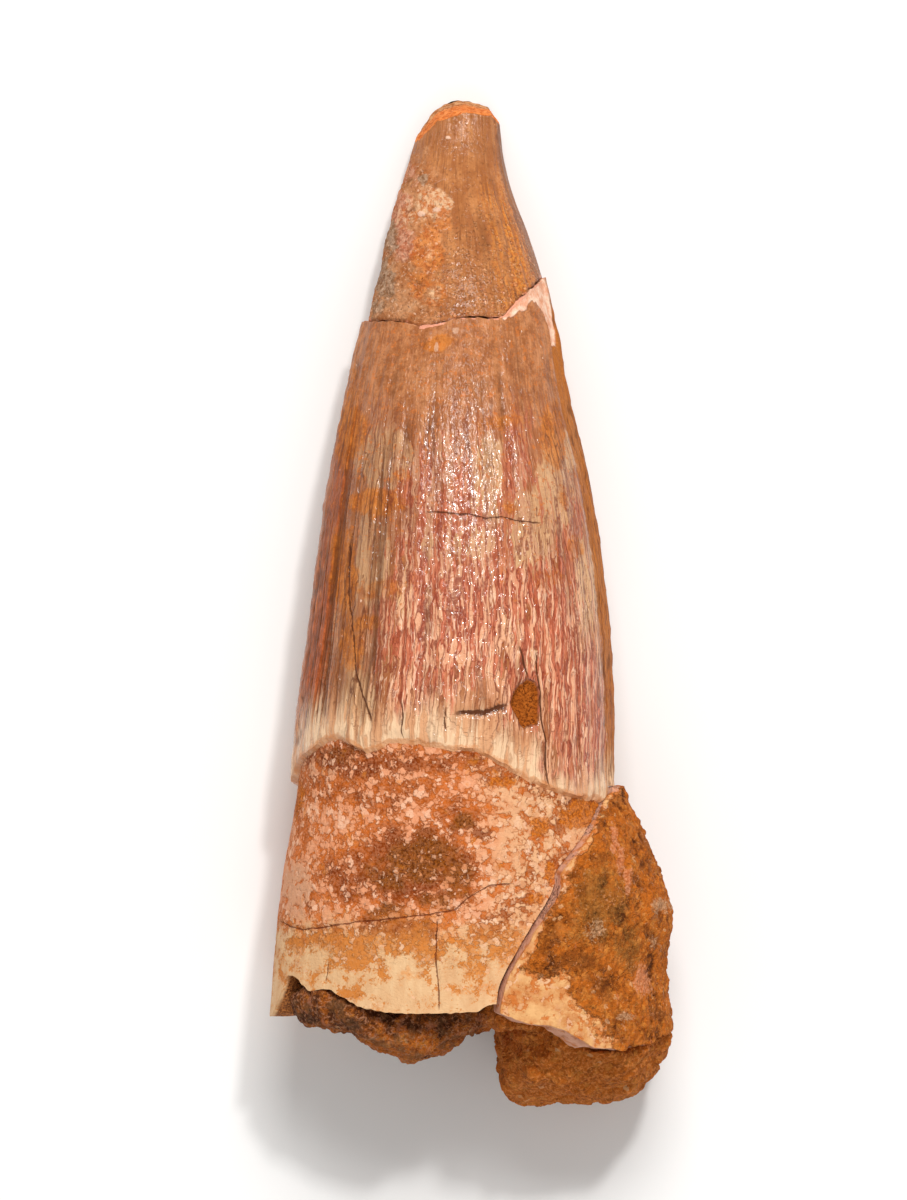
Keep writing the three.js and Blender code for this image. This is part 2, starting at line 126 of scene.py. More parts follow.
# %% Measures of the tooth
FIT_GAP = 0.3
ENAMEL = 0.45
CARINA = 0.22
FLUTES = 30
WALL = 2.7
CAVITY_TOP = -17
CAVITY_MOUTH = -33
CAVITY_TAPER = 0.45
ROOT_END = -31.5
BREAK_MIDDLE = 22.7
TIP_END = 41
SPLINTER_TOP = -14.9
SPLINTER_FOOT = -33.5
SPLINTER_THICKNESS = 2.6
CRACK_WIDTH = 0.55
ROOT_RADIUS = 14
SIDE_ANGLE = 12
PUSHED_UNDERNEATH = 0.9
LEDGE = 0.1
DRUM_RADIUS = 12

TOOTH_OUTLINE = [
    (-36.0, -16.2, 13.9), (-28.1, -15.6, 13.3), (-21.7, -14.9, 12.5), (-15.3, -13.8, 10.9),
    (-8.9, -13.2, 10.8), (-2.5, -12.3, 10.5), (3.9, -11.5, 9.8), (10.3, -10.5, 8.7),
    (16.7, -9.3, 7.2), (21.5, -8.2, 6.4), (24.7, -7.3, 5.75), (27.0, -6.6, 5.2),
]
TIP_OUTLINE = [
    (21.0, -8.3, 7.2), (24.7, -7.65, 6.2), (29.5, -6.5, 4.6), (32.7, -5.75, 3.4),
    (35.9, -4.7, 2.65), (41.0, -3.6, 2.1),
]
HALF_DEPTH = [
    (-36.0, 11.2), (-28.1, 11.1), (-21.7, 10.8), (-15.3, 10.35), (-8.9, 9.9), (-2.5, 9.35), (3.9, 8.7),
    (10.3, 7.8), (16.7, 6.75), (21.5, 5.85), (27.0, 4.85), (32.7, 3.6), (35.9, 2.9), (41.0, 2.2),
]
UNDERSIDE = [
    (-36, -0.1), (-28, -0.35), (-14, -0.35), (-6, 0.05), (4, 0.6), (14, 1.1), (26, 0.8), (37, -0.15),
    (41, -0.1),
]
ENAMEL_EDGE = [
    (0, -15.9), (19, -15.8), (46, -14.9), (66, -13.4), (81, -11.8), (95, -11.3), (113, -11.0), (124, -11.7),
    (139, -10.7), (152, -11.5), (171, -12.9), (181, -14.4), (200, -14.0), (240, -12.6), (290, -13.8),
    (330, -15.2), (360, -15.9),
]
ROOT_EDGE = [
    (0, -32.5), (78, -31.6), (85, -32.2), (107, -32.3), (115, -32.1), (123, -31.5), (133, -30.4),
    (142, -30.6), (151, -29.5), (157, -29.7), (163, -31.5), (170, -32.6), (190, -32.7), (230, -32.3),
    (270, -31.8), (310, -33.0), (360, -32.5),
]
TIP_BREAK = [
    (0, 26.1), (20, 25.7), (47, 24.3), (57, 23.4), (65, 22.6), (84, 22.6), (102, 22.2), (116, 21.9),
    (130, 22.3), (180, 22.4), (230, 21.8), (270, 22.4), (290, 23.0), (320, 24.2), (340, 25.6), (360, 26.1),
]
FRONT_CRACK = [
    (-36, 80), (-31.7, 77.5), (-29.7, 75.8), (-26.1, 67), (-22.5, 55.8), (-21.1, 54.1), (-18.1, 35.9),
    (-16.1, 22.2), (-14.9, 12.3),
]
BACK_CRACK = [(-36, -56), (-30, -52), (-26, -46), (-22, -40), (-18, -28), (-14.9, -14)]
SPLINTER_EDGE = [
    (-56, -32.5), (-20, -33.5), (10, -34.0), (30, -35.0), (46, -35.1), (53, -34.3), (61, -33.3), (71, -32.9),
    (78, -32.1),
]
PUSHED_AT_CRACK = [(-34, 0.9), (-26, 1.0), (-20, 0.8), (-15, 0.3)]
PUSHED_AT_SIDE = [(-35, 2.2), (-32, 2.3), (-29, 2.0), (-25, 3.0), (-22, 2.75), (-18.5, 2.2), (-15, 1.5)]
TIP_CHIPS = [
    ((-4.75, 37.0, 1.6), (-0.76, 0.6, 0.2)),
    ((-1.6, 39.75, 1.8), (-0.28, 0.94, 0.26)),
    ((0.6, 39.8, 1.8), (0.12, 0.98, 0.22)),
    ((2.0, 39.0, 2.6), (0.8, 0.58, 0.05)),
]


def smooth(value, low, high):
    """0 below low, 1 above high and a soft slope between them."""
    share = np.clip((value - low) / (high - low), 0, 1)
    return share * share * (3 - 2 * share)


def mixed(start, end, share):
    """start at share 0 and end at share 1."""
    return start + (end - start) * share


def curve_through(rows, column=1):
    """A smooth curve through rows of numbers, keyed on their first column and level past both ends."""
    table = np.array(rows, float)
    keys, values = table[:, 0], table[:, column]
    last = len(keys) - 1
    after = np.minimum(np.arange(last + 1) + 1, last)
    before = np.maximum(np.arange(last + 1) - 1, 0)
    slopes = (values[after] - values[before]) / (keys[after] - keys[before])

    def curve(position):
        at = np.clip(position, keys[0], keys[-1])
        end = np.clip(np.searchsorted(keys, at), 1, last)
        start = end - 1
        width = keys[end] - keys[start]
        share = (at - keys[start]) / width
        rise = mixed(values[start], values[end], share * share * (3 - 2 * share))
        leave = share * (1 - share) ** 2 * width * slopes[start]
        arrive = share * share * (share - 1) * width * slopes[end]
        return rise + leave + arrive

    return curve


half_depth = curve_through(HALF_DEPTH)
underside = curve_through(UNDERSIDE)
enamel_edge = curve_through(ENAMEL_EDGE)
root_edge = curve_through(ROOT_EDGE)
tip_break = curve_through(TIP_BREAK)
front_crack = curve_through(FRONT_CRACK)
back_crack = curve_through(BACK_CRACK)
splinter_edge = curve_through(SPLINTER_EDGE)
pushed_at_crack = curve_through(PUSHED_AT_CRACK)
pushed_at_side = curve_through(PUSHED_AT_SIDE)


def section_of(outline):
    """Gives centre x, centre z, half width and half depth at a height."""
    left, right = curve_through(outline, 1), curve_through(outline, 2)

    def section(y):
        depth = half_depth(y)
        return (left(y) + right(y)) / 2, depth + underside(y), (right(y) - left(y)) / 2, depth

    return section


tooth_section = section_of(TOOTH_OUTLINE)
tip_section = section_of(TIP_OUTLINE)


def on_section(section, y, angle, out=0.0, scale=1.0):
    """Points of a section: out is measured from its rim, and scale shrinks the whole section."""
    y, angle, out, scale = np.broadcast_arrays(y, angle, out, scale)
    x, z, width, depth = section(y)
    turn = np.radians(angle)
    across = x + (width + out) * scale * np.cos(turn)
    up = z + (depth + out) * scale * np.sin(turn)
    return np.stack([across, y, up], axis=-1)


def place_on(section, points):
    """The angle round the section, and how far out from its rim each point is."""
    x, z, width, depth = section(points[:, 1])
    across, up = points[:, 0] - x, points[:, 2] - z
    out = np.zeros(len(points))
    for _ in range(4):
        turn = np.arctan2(up / (depth + out), across / (width + out))
        out = (across - width * np.cos(turn)) * np.cos(turn) + (up - depth * np.sin(turn)) * np.sin(turn)
        out = np.maximum(out, -0.9 * np.minimum(width, depth))
    return np.degrees(turn) % 360, out


print("width of the crown base in mm:", round(float(2 * tooth_section(-8.9)[2] + 2 * ENAMEL), 1))

# %% [markdown]
# ## Noise
# Wear, sand and stains follow no plan, so they come from noise that gives the same answer in each run.
# Value noise makes soft swellings, several sizes of it added up make rough stone, and scattered points make
# grains. It is worked out on all the points of a mesh at once, which is far quicker than point by point.


# %% Noise and grains
def random_at(cells, seed):
    """A number from 0 to 1 for each whole-number cell of space."""
    number = cells[..., 0] * 374761393 + cells[..., 1] * 668265263 + cells[..., 2] * 1440662683
    number = (number + seed * 974634777) & 0xFFFFFFFF
    number = ((number ^ (number >> 13)) * 1274126177) & 0xFFFFFFFF
    number = ((number ^ (number >> 16)) * 1103515245) & 0xFFFFFFFF
    return ((number >> 8) & 0xFFFFF) / 0xFFFFF


def swell(place, size, seed):
    """Soft noise from -1 to 1. size is the size of a swelling, or three sizes for a stretched one."""
    scaled = place / np.asarray(size, float)
    corner = np.floor(scaled)
    inside = scaled - corner
    corner = corner.astype(np.int64)
    inside = inside * inside * (3 - 2 * inside)
    total = np.zeros(len(place))
    for step in np.ndindex(2, 2, 2):
        share = np.prod(np.where(step, inside, 1 - inside), axis=1)
        total += share * random_at(corner + np.array(step), seed)
    return 2 * total - 1


def rough(place, size, seed, sizes=3):
    """Rough noise: a swelling with smaller ones on it."""
    total, shares = np.zeros(len(place)), 0.0
    for step in range(sizes):
        share = 0.5**step
        total += share * swell(place, np.asarray(size, float) * share, seed + step)
        shares += share
    return total / shares


def grains(place, size, seed):
    """Scattered grains: a dome from 0 to 1 over each, and a number from 0 to 1 that tells them apart."""
    scaled = place / size
    corner = np.floor(scaled).astype(np.int64)
    nearest = np.full(len(place), 9.0)
    own = np.zeros(len(place))
    for step in np.ndindex(3, 3, 3):
        cell = corner + (np.array(step) - 1)
        centre = cell + np.stack([random_at(cell, seed + axis) for axis in range(3)], axis=1)
        distance = np.linalg.norm(scaled - centre, axis=1)
        closer = distance < nearest
        nearest = np.where(closer, distance, nearest)
        own = np.where(closer, random_at(cell, seed + 7), own)
    return np.clip(1 - (nearest / 0.8) ** 2, 0, 1), own


def inside_of(outline, place):
    """How far inside a closed outline, seen from above, each place is. Outside it is negative."""
    x, y = place[:, 0], place[:, 1]
    nearest = np.full(len(place), 1e9)
    inside = np.zeros(len(place), bool)
    corners = np.array(outline, float)
    for start, end in zip(corners, np.roll(corners, -1, axis=0)):
        along = end - start
        from_start = place[:, :2] - start
        share = np.clip(from_start @ along / (along @ along), 0, 1)
        nearest = np.minimum(nearest, np.linalg.norm(from_start - share[:, None] * along, axis=1))
        crosses = (start[1] > y) != (end[1] > y)
        rise = along[1] if along[1] else 1e-9
        inside ^= crosses & (x < start[0] + (y - start[1]) / rise * along[0])
    return np.where(inside, nearest, -nearest)


def spots(place, rows, seed, blur=0.45, wander=0.5):
    """Soft ragged spots, the strongest at each place. A row is x, y, half width, half height, strength."""
    x = place[:, 0] + wander * rough(place, 1.6, seed)
    y = place[:, 1] + wander * rough(place, 1.6, seed + 11)
    total = np.zeros(len(place))
    for spot_x, spot_y, wide, tall, strength in rows:
        away = np.hypot((x - spot_x) / wide, (y - spot_y) / tall)
        total = np.maximum(total, strength * (1 - smooth(away, 1 - blur, 1 + blur)))
    return total


def span_of(values):
    return f"{values.min():.2f} to {values.max():.2f}"


sample = np.stack([np.linspace(0, 9, 1000)] * 3, axis=1)
print("soft noise runs from", span_of(swell(sample, 1, 1)))

# %% [markdown]
# ## Skins
# Each piece starts as a closed skin: rings of points stacked along the tooth, or a curved slab. Both are
# plain lists of points, so a ring can follow the enamel edge or the break exactly. The hollow and the gap
# of the splinter are cut out afterwards with booleans, because a cut edge is then as sharp as the broken
# bone.


# %% Closed skins and cuts
def skin(name, points, faces):
    """A mesh of those points, in millimetres."""
    mesh = bpy.data.meshes.new(name)
    mesh.from_pydata(points.tolist(), [], faces)
    mesh.update()
    return mesh


def ring_skin(name, rings):
    """A closed skin over rings of points, with a middle point at each end."""
    count, around = rings.shape[:2]
    ends = [rings[0].mean(axis=0), rings[-1].mean(axis=0)]
    points = np.concatenate([rings.reshape(-1, 3), ends])
    index = np.arange(count * around).reshape(count, around)
    beside = np.roll(index, -1, axis=1)
    quads = np.stack([index[:-1], index[1:], beside[1:], beside[:-1]], axis=-1).reshape(-1, 4).tolist()
    first, last = len(points) - 2, len(points) - 1
    quads += [(first, a, b) for a, b in zip(index[0].tolist(), beside[0].tolist())]
    quads += [(last, b, a) for a, b in zip(index[-1].tolist(), beside[-1].tolist())]
    return skin(name, points, quads)


def slab_skin(name, steps, place):
    """A closed curved slab. place(across, along, out) takes shares from 0 to 1 and gives points."""
    corners, quads, made = [], [], 0
    for axis in range(3):
        first, second = [other for other in range(3) if other != axis]
        for end in (0, 1):
            i, j = np.meshgrid(np.arange(steps[first] + 1), np.arange(steps[second] + 1), indexing="ij")
            lattice = np.zeros((*i.shape, 3), int)
            lattice[..., first], lattice[..., second], lattice[..., axis] = i, j, end * steps[axis]
            number = made + np.arange(i.size).reshape(i.shape)
            loop = [number[:-1, :-1], number[1:, :-1], number[1:, 1:], number[:-1, 1:]]
            if (end == 0) != (axis == 1):
                loop.reverse()
            quads.append(np.stack(loop, axis=-1).reshape(-1, 4))
            corners.append(lattice.reshape(-1, 3))
            made += i.size
    unique, shared = np.unique(np.concatenate(corners), axis=0, return_inverse=True)
    shares = unique / np.array(steps)
    faces = shared.reshape(-1)[np.concatenate(quads)]
    return skin(name, place(shares[:, 0], shares[:, 1], shares[:, 2]), faces.tolist())


def cut_away(blank, *cutters):
    """A new mesh: the blank without the cutters. All are in millimetres."""
    things = [bpy.data.objects.new(mesh.name, mesh) for mesh in (blank, *cutters)]
    for thing in things:
        scene.collection.objects.link(thing)
    for cutter in things[1:]:
        cut = things[0].modifiers.new("cut", "BOOLEAN")
        cut.operation, cut.solver, cut.object = "DIFFERENCE", "MANIFOLD", cutter
    made = bpy.data.meshes.new_from_object(things[0].evaluated_get(bpy.context.evaluated_depsgraph_get()))
    for thing in things:
        mesh = thing.data
        bpy.data.objects.remove(thing)
        bpy.data.meshes.remove(mesh)
    made.materials.clear()
    return made


def points_of(mesh):
    points = np.empty(len(mesh.vertices) * 3, np.float32)
    mesh.vertices.foreach_get("co", points)
    return points.reshape(-1, 3).astype(float)


def normals_of(mesh):
    normals = np.empty(len(mesh.vertices) * 3, np.float32)
    mesh.vertex_normals.foreach_get("vector", normals)
    return normals.reshape(-1, 3).astype(float)


def move_points(mesh, points):
    """Puts the points of a mesh there, none of them below the floor."""
    points = points.copy()
    points[:, 2] = np.maximum(points[:, 2], 0)
    mesh.vertices.foreach_set("co", points.astype(np.float32).ravel())
    mesh.update()


def keep(mesh, name, values):
    """Keeps a number or a vector per point on the mesh, for its material to read."""
    if values.ndim == 1:
        mesh.attributes.new(name, "FLOAT", "POINT").data.foreach_set("value", values.astype(np.float32))
    else:
        vectors = values.astype(np.float32).ravel()
        mesh.attributes.new(name, "FLOAT_VECTOR", "POINT").data.foreach_set("vector", vectors)


def make_piece(name, mesh, node, finishes, sharp=58):
    """Makes the finished object: in metres, smooth but for its sharp edges, and tied to the frame."""
    mesh.transform(Matrix.Scale(MM, 4))
    mesh.polygons.foreach_set("use_smooth", [True] * len(mesh.polygons))
    mesh.set_sharp_from_angle(angle=np.radians(sharp))
    for finish in finishes:
        mesh.materials.append(finish)
    piece = bpy.data.objects.new(name, mesh)
    scene.collection.objects.link(piece)
    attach(piece, "root")
    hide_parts(node)
    triangles = sum(len(face.vertices) - 2 for face in mesh.polygons)
    print(name, "triangles:", triangles)


# %% [markdown]
# ## The tooth: its form
# The crown is glossy enamel with low lengthways ridges. It ends in a ledge, where the dull root begins. The
# root is hollow, its lower edge is broken, and a splinter of its wall is missing from its place. One skin
# is stacked from rings that follow the broken edge, the ledge and the break under the tip, with more points
# on the upper side, which is seen most. The hollow and the gap are then cut from it.

# %% The blank of the tooth
TOP_COLUMNS, UNDER_COLUMNS = 262, 112
ROOT_ROWS, CROWN_ROWS = 104, 122
RIM_ROWS = 13
RIM_ROWS_TO_MIDDLE = RIM_ROWS + 6
RIM_STEP = 0.26
BREAK_STEP = 1.3 * RIM_STEP

top_angles = np.linspace(0, 180, TOP_COLUMNS, endpoint=False)
under_angles = np.linspace(180, 360, UNDER_COLUMNS, endpoint=False)
tooth_angles = np.concatenate([top_angles, under_angles])


def round_place(angle, y):
    """A place on a plain drum, so that lengthways lines run together towards the tip."""
    turn = np.radians(angle)
    return np.stack(np.broadcast_arrays(DRUM_RADIUS * np.cos(turn), DRUM_RADIUS * np.sin(turn), y), axis=-1)


def ragged_enamel_edge(angle):
    """The enamel edge with the small nicks of a broken shell."""
    drum = round_place(angle, 0.0)
    nicks = 0.2 * rough(drum, 1.5, 5) + 0.1 * swell(drum, 0.45, 8)
    return enamel_edge(angle) + nicks


def ragged_root_edge(angle):
    drum = round_place(angle, 0.0)
    return root_edge(angle) + 0.3 * rough(drum, 1.4, 15, 4) + 0.1 * swell(drum, 0.35, 18)


def ragged_tip_break(angle):
    return tip_break(angle) + 0.1 * rough(round_place(angle, 0.0), 0.9, 25)


def standing_out(y, angle, edge):
    """How far the smooth surface stands out from the bare outline."""
    carina = CARINA * smooth(np.abs(np.cos(np.radians(angle))), 0.985, 1)
    return np.where(y < edge, 0.0, ENAMEL + carina)


edge_line = ragged_enamel_edge(tooth_angles)
low_line = ragged_root_edge(tooth_angles)
high_line = ragged_tip_break(tooth_angles)
tooth_rows = [mixed(low_line, edge_line - LEDGE, step / ROOT_ROWS) for step in range(ROOT_ROWS + 1)]
tooth_rows += [mixed(edge_line + LEDGE, high_line, step / CROWN_ROWS) for step in range(CROWN_ROWS + 1)]
tooth_rings = [
    on_section(tooth_section, y, tooth_angles, standing_out(y, tooth_angles, edge_line)) for y in tooth_rows
]
for step in range(1, RIM_ROWS + 1):
    tooth_rings.insert(0, on_section(tooth_section, low_line, tooth_angles, -step * RIM_STEP))
    upper_y = mixed(high_line, BREAK_MIDDLE, step / RIM_ROWS_TO_MIDDLE)
    tooth_rings.append(on_section(tooth_section, upper_y, tooth_angles, ENAMEL - step * BREAK_STEP))
tooth_blank = ring_skin("tooth blank", np.array(tooth_rings))
print("points of the blank:", len(tooth_blank.vertices))


# %% The hollow and the gap
def cavity_scale(y):
    up = np.clip((y - CAVITY_MOUTH) / (CAVITY_TOP - CAVITY_MOUTH), 0, 1)
    return mixed(1, CAVITY_TAPER, up * up)


CAVITY_ROWS, CAVITY_COLUMNS = 36, 120
CAVITY_BEYOND = 4
GAP_INWARD, GAP_OUTWARD = WALL + 4, 3.0
GAP_STEPS = (30, 110, 26)
cavity_angles = np.linspace(0, 360, CAVITY_COLUMNS, endpoint=False)
cavity_rings = [
    on_section(tooth_section, y, cavity_angles, -WALL, cavity_scale(y))
    for y in np.linspace(CAVITY_MOUTH - CAVITY_BEYOND, CAVITY_TOP, CAVITY_ROWS)
]
cavity = ring_skin("cavity", np.array(cavity_rings))


def gap_place(across, along, out):
    """The gap of the splinter, from inside the hollow to well outside."""
    y = mixed(TOOTH_OUTLINE[0][0], SPLINTER_TOP + FIT_GAP, along)
    angle = mixed(front_crack(y), back_crack(y), across)
    return on_section(tooth_section, y, angle, mixed(-GAP_INWARD, GAP_OUTWARD, out))


splinter_gap = slab_skin("splinter gap", GAP_STEPS, gap_place)
tooth_mesh = cut_away(tooth_blank, cavity, splinter_gap)
print("points of the cut tooth:", len(tooth_mesh.vertices))

# %% [markdown]
# ## The tooth: its relief
# Fine ridges run up the crown. The root has a crust of worm-like islands with rust between them. There are
# a few long cracks, a pit full of sand, and a place at the break where the enamel is gone. Where each one
# is, and where the rust, the rose streaks, the cream and orange patches and the glossy place are, comes
# from named outlines and spots in millimetres, seen from above. Each is also kept on the mesh, so that
# colour and relief agree. Nobody sees the underside well, so noise alone places its stains.

# %% Named places on the tooth
PIT = [(3.1, -7.9), (3.7, -6.8), (4.4, -6.1), (5.4, -6.4), (5.45, -8.2), (5.4, -9.5), (4.2, -9.9)]
BARED_AT_BREAK = [
    (2.5, 22.8), (3.3, 23.9), (4.4, 24.9), (5.5, 26.0), (6.3, 26.2), (6.6, 24.0), (6.8, 22.0), (6.95, 20.3),
    (6.5, 20.6), (6.2, 22.2), (5.8, 23.2), (5.35, 23.9), (5.0, 24.1), (4.6, 23.5), (3.9, 23.1), (3.2, 22.7),
    (2.6, 22.5),
]
# each crack: which way it runs, its width and depth in mm, and its line
CRACKS = {
    "crack_across_root": (
        "across", 0.14, 0.14,
        [(-15.4, -25.1), (-14.2, -25.7), (-13.2, -25.9), (-10.4, -25.4), (-8.3, -25.1), (-3.2, -24.5),
         (-1.2, -24.1), (0, -23.1), (1.6, -22.2), (3.6, -22.1)],
    ),
    "crack_down_root": (
        "down", 0.13, 0.16, [(-32.2, -2.4), (-29.5, -2.55), (-27.7, -2.75), (-26.2, -2.7), (-24.6, -2.5)],
    ),
    "crack_at_edge": ("down", 0.1, 0.07, [(-30.2, -11.5), (-29.2, -11.3), (-28.0, -11.25)]),
    "crack_across_crown": (
        "across", 0.1, 0.07, [(-3.8, 7.2), (0, 6.95), (1.3, 6.6), (2.4, 6.75), (4.3, 6.4), (5.8, 6.2)],
    ),
    "crack_by_pit": (
        "down", 0.1, 0.1,
        [(-15.0, 6.35), (-12.8, 5.95), (-11.0, 6.0), (-9.0, 5.6), (-7.2, 5.55), (-5.4, 5.3), (-3.6, 5.1)],
    ),
    "crack_above_pit": ("down", 0.1, 0.07, [(-6.2, 4.75), (-5.0, 4.3), (-4.2, 4.15), (-3.2, 3.8)]),
    "groove_by_pit": (
        "across", 0.3, 0.2, [(-1.3, -8.75), (-0.2, -8.6), (1.2, -8.65), (2.2, -8.3), (3.2, -8.1)],
    ),
    "crack_left_low": ("down", 0.1, 0.07, [(-11.0, -5.3), (-10.0, -5.45), (-9.0, -5.3), (-7.4, -5.5)]),
    "crack_left_long": (
        "down", 0.1, 0.07, [(-9.6, -7.7), (-7.0, -8.6), (-5.2, -9.1), (-3.2, -9.2), (1.0, -9.6), (5.0, -9.5)],
    ),
    "crack_middle_low": ("down", 0.1, 0.07, [(-10.4, -1.9), (-9.2, -2.05), (-8.0, -1.9)]),
}


def crack_place(way, line, place):
    """How far to the side of a crack each place is, and how far inside its ends."""
    line = np.array(line)
    along, aside = (place[:, 0], place[:, 1]) if way == "across" else (place[:, 1], place[:, 0])
    wobble = 0.1 * rough(place, 0.9, 71)
    offset = aside - np.interp(along, line[:, 0], line[:, 1]) + wobble
    return offset, np.minimum(along - line[0, 0], line[-1, 0] - along)


def ridges(place, rows):
    """Soft ridges along the tooth. A row is height, width, length and seed."""
    return sum(height * swell(place, (width, width, length), seed) for height, width, length, seed in rows)


# %% Where each point of the tooth lies
bare = points_of(tooth_mesh)
angle, out = place_on(tooth_section, bare)
y = bare[:, 1]
edge = ragged_enamel_edge(angle)
above = y - edge
depth_below = standing_out(y, angle, edge) - out
skin_deep = 1 - smooth(depth_below, 0.12, 0.3)
on_top = smooth(np.sin(np.radians(angle)), -0.12, 0.25)
on_ledge = 1 - smooth(np.abs(above), LEDGE, 3 * LEDGE)
flow = round_place(angle, y)
print("points on the upper side:", int((on_top > 0.5).sum()))

# %% Ridges and furrows of the crown
FLUTE_HEIGHT = 0.03
CROWN_RIDGES = [(0.035, 1.15, 18, 41), (0.035, 0.6, 9, 42), (0.03, 0.3, 3.5, 43)]
crown_fade = smooth(above, 0.4, 3) * (1 - smooth(y, 18, 24) * 0.6)
flutes = FLUTE_HEIGHT * np.cos(np.radians(angle * FLUTES)) * crown_fade
left_side = smooth(angle, 112, 124) * (1 - smooth(angle, 160, 172))
left_side = left_side * smooth(y, -12, -7) * (1 - smooth(y, 10, 18))
furrow = 1 - smooth(np.abs(swell(flow, (0.75, 0.75, 22), 44)), 0.0, 0.16)
furrow_depth = 0.1 * left_side + 0.03
crown_relief = flutes + crown_fade * ridges(flow, CROWN_RIDGES) - furrow_depth * furrow * crown_fade
crown_relief += 0.05 * rough(bare, 4.0, 47) + 0.02 * swell(bare, (1.2, 0.5, 1.2), 48) * crown_fade
at_side = smooth(np.abs(np.cos(np.radians(angle))), 0.9, 0.99)
crown_relief += at_side * (0.11 * rough(bare, 1.5, 165) + 0.08 * rough(bare, 0.7, 166, 2))

# %% Rust, islands and grains of the root
RUST_BELOW_LEDGE = [
    (-12.6, -12.2, 1.6, 0.9, 0.8), (-9.6, -12.4, 3.2, 1.5, 1.0), (-5.6, -12.6, 3.0, 1.1, 0.85),
    (-1.5, -12.6, 3.4, 1.0, 0.75), (2.4, -13.4, 2.6, 0.9, 0.7), (6.2, -14.8, 2.6, 1.0, 0.75),
    (9.0, -16.2, 2.4, 1.6, 0.95), (-11.8, -14.8, 2.6, 1.4, 0.55), (-7.0, -15.2, 3.2, 1.8, 0.62),
    (-1.0, -16.6, 2.2, 1.6, 0.62), (-0.6, -17.6, 1.2, 1.0, 0.8), (-3.6, -15.0, 2.2, 1.2, 0.5),
    (6.5, -17.2, 2.6, 1.6, 0.55),
]
RUST_ON_ROOT = [
    (-13.9, -15.6, 0.7, 2.0, 0.85), (-13.2, -18.0, 0.6, 1.4, 0.5), (-4.6, -20.6, 4.4, 3.4, 1.0),
    (-8.8, -21.6, 3.0, 2.4, 0.8), (-1.2, -21.4, 2.2, 2.2, 0.85), (-9.2, -27.6, 1.2, 1.3, 0.8),
    (-11.2, -26.2, 1.6, 0.8, 0.7), (-5.6, -26.0, 2.4, 1.3, 0.8), (-7.4, -25.8, 1.6, 1.2, 0.85),
    (-13.8, -27.2, 0.7, 0.6, 0.9), (-3.4, -26.6, 0.9, 1.6, 0.7), (1.6, -25.6, 1.6, 1.3, 0.62),
    (0.4, -28.4, 1.0, 1.2, 0.5), (3.6, -24.0, 1.8, 1.5, 0.6), (4.6, -20.6, 1.4, 1.8, 0.5),
    (7.4, -20.2, 1.6, 1.2, 0.6), (1.2, -18.2, 0.9, 0.5, 0.9), (2.8, -26.8, 1.4, 1.0, 0.6),
    (-12.6, -23.4, 0.8, 0.9, 0.4), (-9.2, -30.8, 1.6, 0.5, 0.5),
]
DARK_ON_ROOT = [
    (-3.8, -20.2, 3.0, 1.9, 1.0), (-1.0, -21.8, 1.3, 1.5, 0.95), (-0.6, -17.2, 0.9, 0.9, 0.8),
    (-6.6, -21.4, 1.8, 1.5, 0.75), (-6.2, -24.4, 2.2, 0.8, 0.7), (-2.6, -23.6, 2.0, 0.9, 0.7),
    (-9.6, -12.0, 2.2, 0.7, 0.55), (-3.8, -25.6, 0.9, 0.9, 0.6),
]
rust_top = np.maximum(spots(bare, RUST_BELOW_LEDGE, 51), spots(bare, RUST_ON_ROOT, 52))
rust_under = smooth(rough(bare, (5, 7, 5), 53), -0.25, 0.45) * 0.85
rust = mixed(rust_under, rust_top, on_top)
dark = mixed(smooth(rough(bare, 4.5, 54), 0.25, 0.6) * 0.7, spots(bare, DARK_ON_ROOT, 55), on_top)
wandering = bare + 0.22 * np.stack([swell(bare, 0.8, 61), swell(bare, 0.8, 62), swell(bare, 0.8, 63)], axis=1)
worms = 1 - smooth(np.abs(swell(wandering, 0.42, 64)), 0.05, 0.42)
islands = np.clip(0.75 * worms + 0.35 * rough(bare, 0.5, 65, 2) + 0.15, 0, 1)
low_band = 1 - smooth(y, -29.5, -25.5)
GREY_SKIN = [(-13.6, -22.8, 1.2, 2.2, 1.0), (-12.8, -12.8, 1.2, 0.9, 0.8), (-11.2, -13.2, 0.8, 0.8, 0.8)]
grey_skin = spots(bare, GREY_SKIN, 163, 0.4, 0.4) * on_top
GOLD_STAINS = [
    (8.8, -16.7, 1.7, 1.1, 1.0), (5.5, -17.6, 0.8, 0.8, 0.8), (5.2, -23.2, 0.7, 0.7, 0.7),
    (6.3, -21.4, 0.5, 0.8, 0.8), (-13.9, -15.4, 0.7, 1.6, 0.8), (2.4, -14.0, 1.2, 0.5, 0.6),
]
gold_stain = spots(bare, GOLD_STAINS, 170, 0.5, 0.5) * on_top
crust = mixed(0.5, 1.0, smooth(rust, 0.1, 0.7)) * (1 - 0.85 * low_band)
root_relief = 0.09 * rough(bare, 3.1, 4) + 0.06 * crust * (islands - 0.5) - 0.07 * dark * (1 - islands)
root_relief += 0.05 * crust * rough(bare, 0.5, 164, 2)
grain_dome, _ = grains(bare, 0.5, 66)
root_relief += 0.07 * smooth(rust, 0.5, 0.9) * (grain_dome - 0.4)
print("rusted share of the root:", round(float((rust[above < 0] > 0.5).mean()), 2))

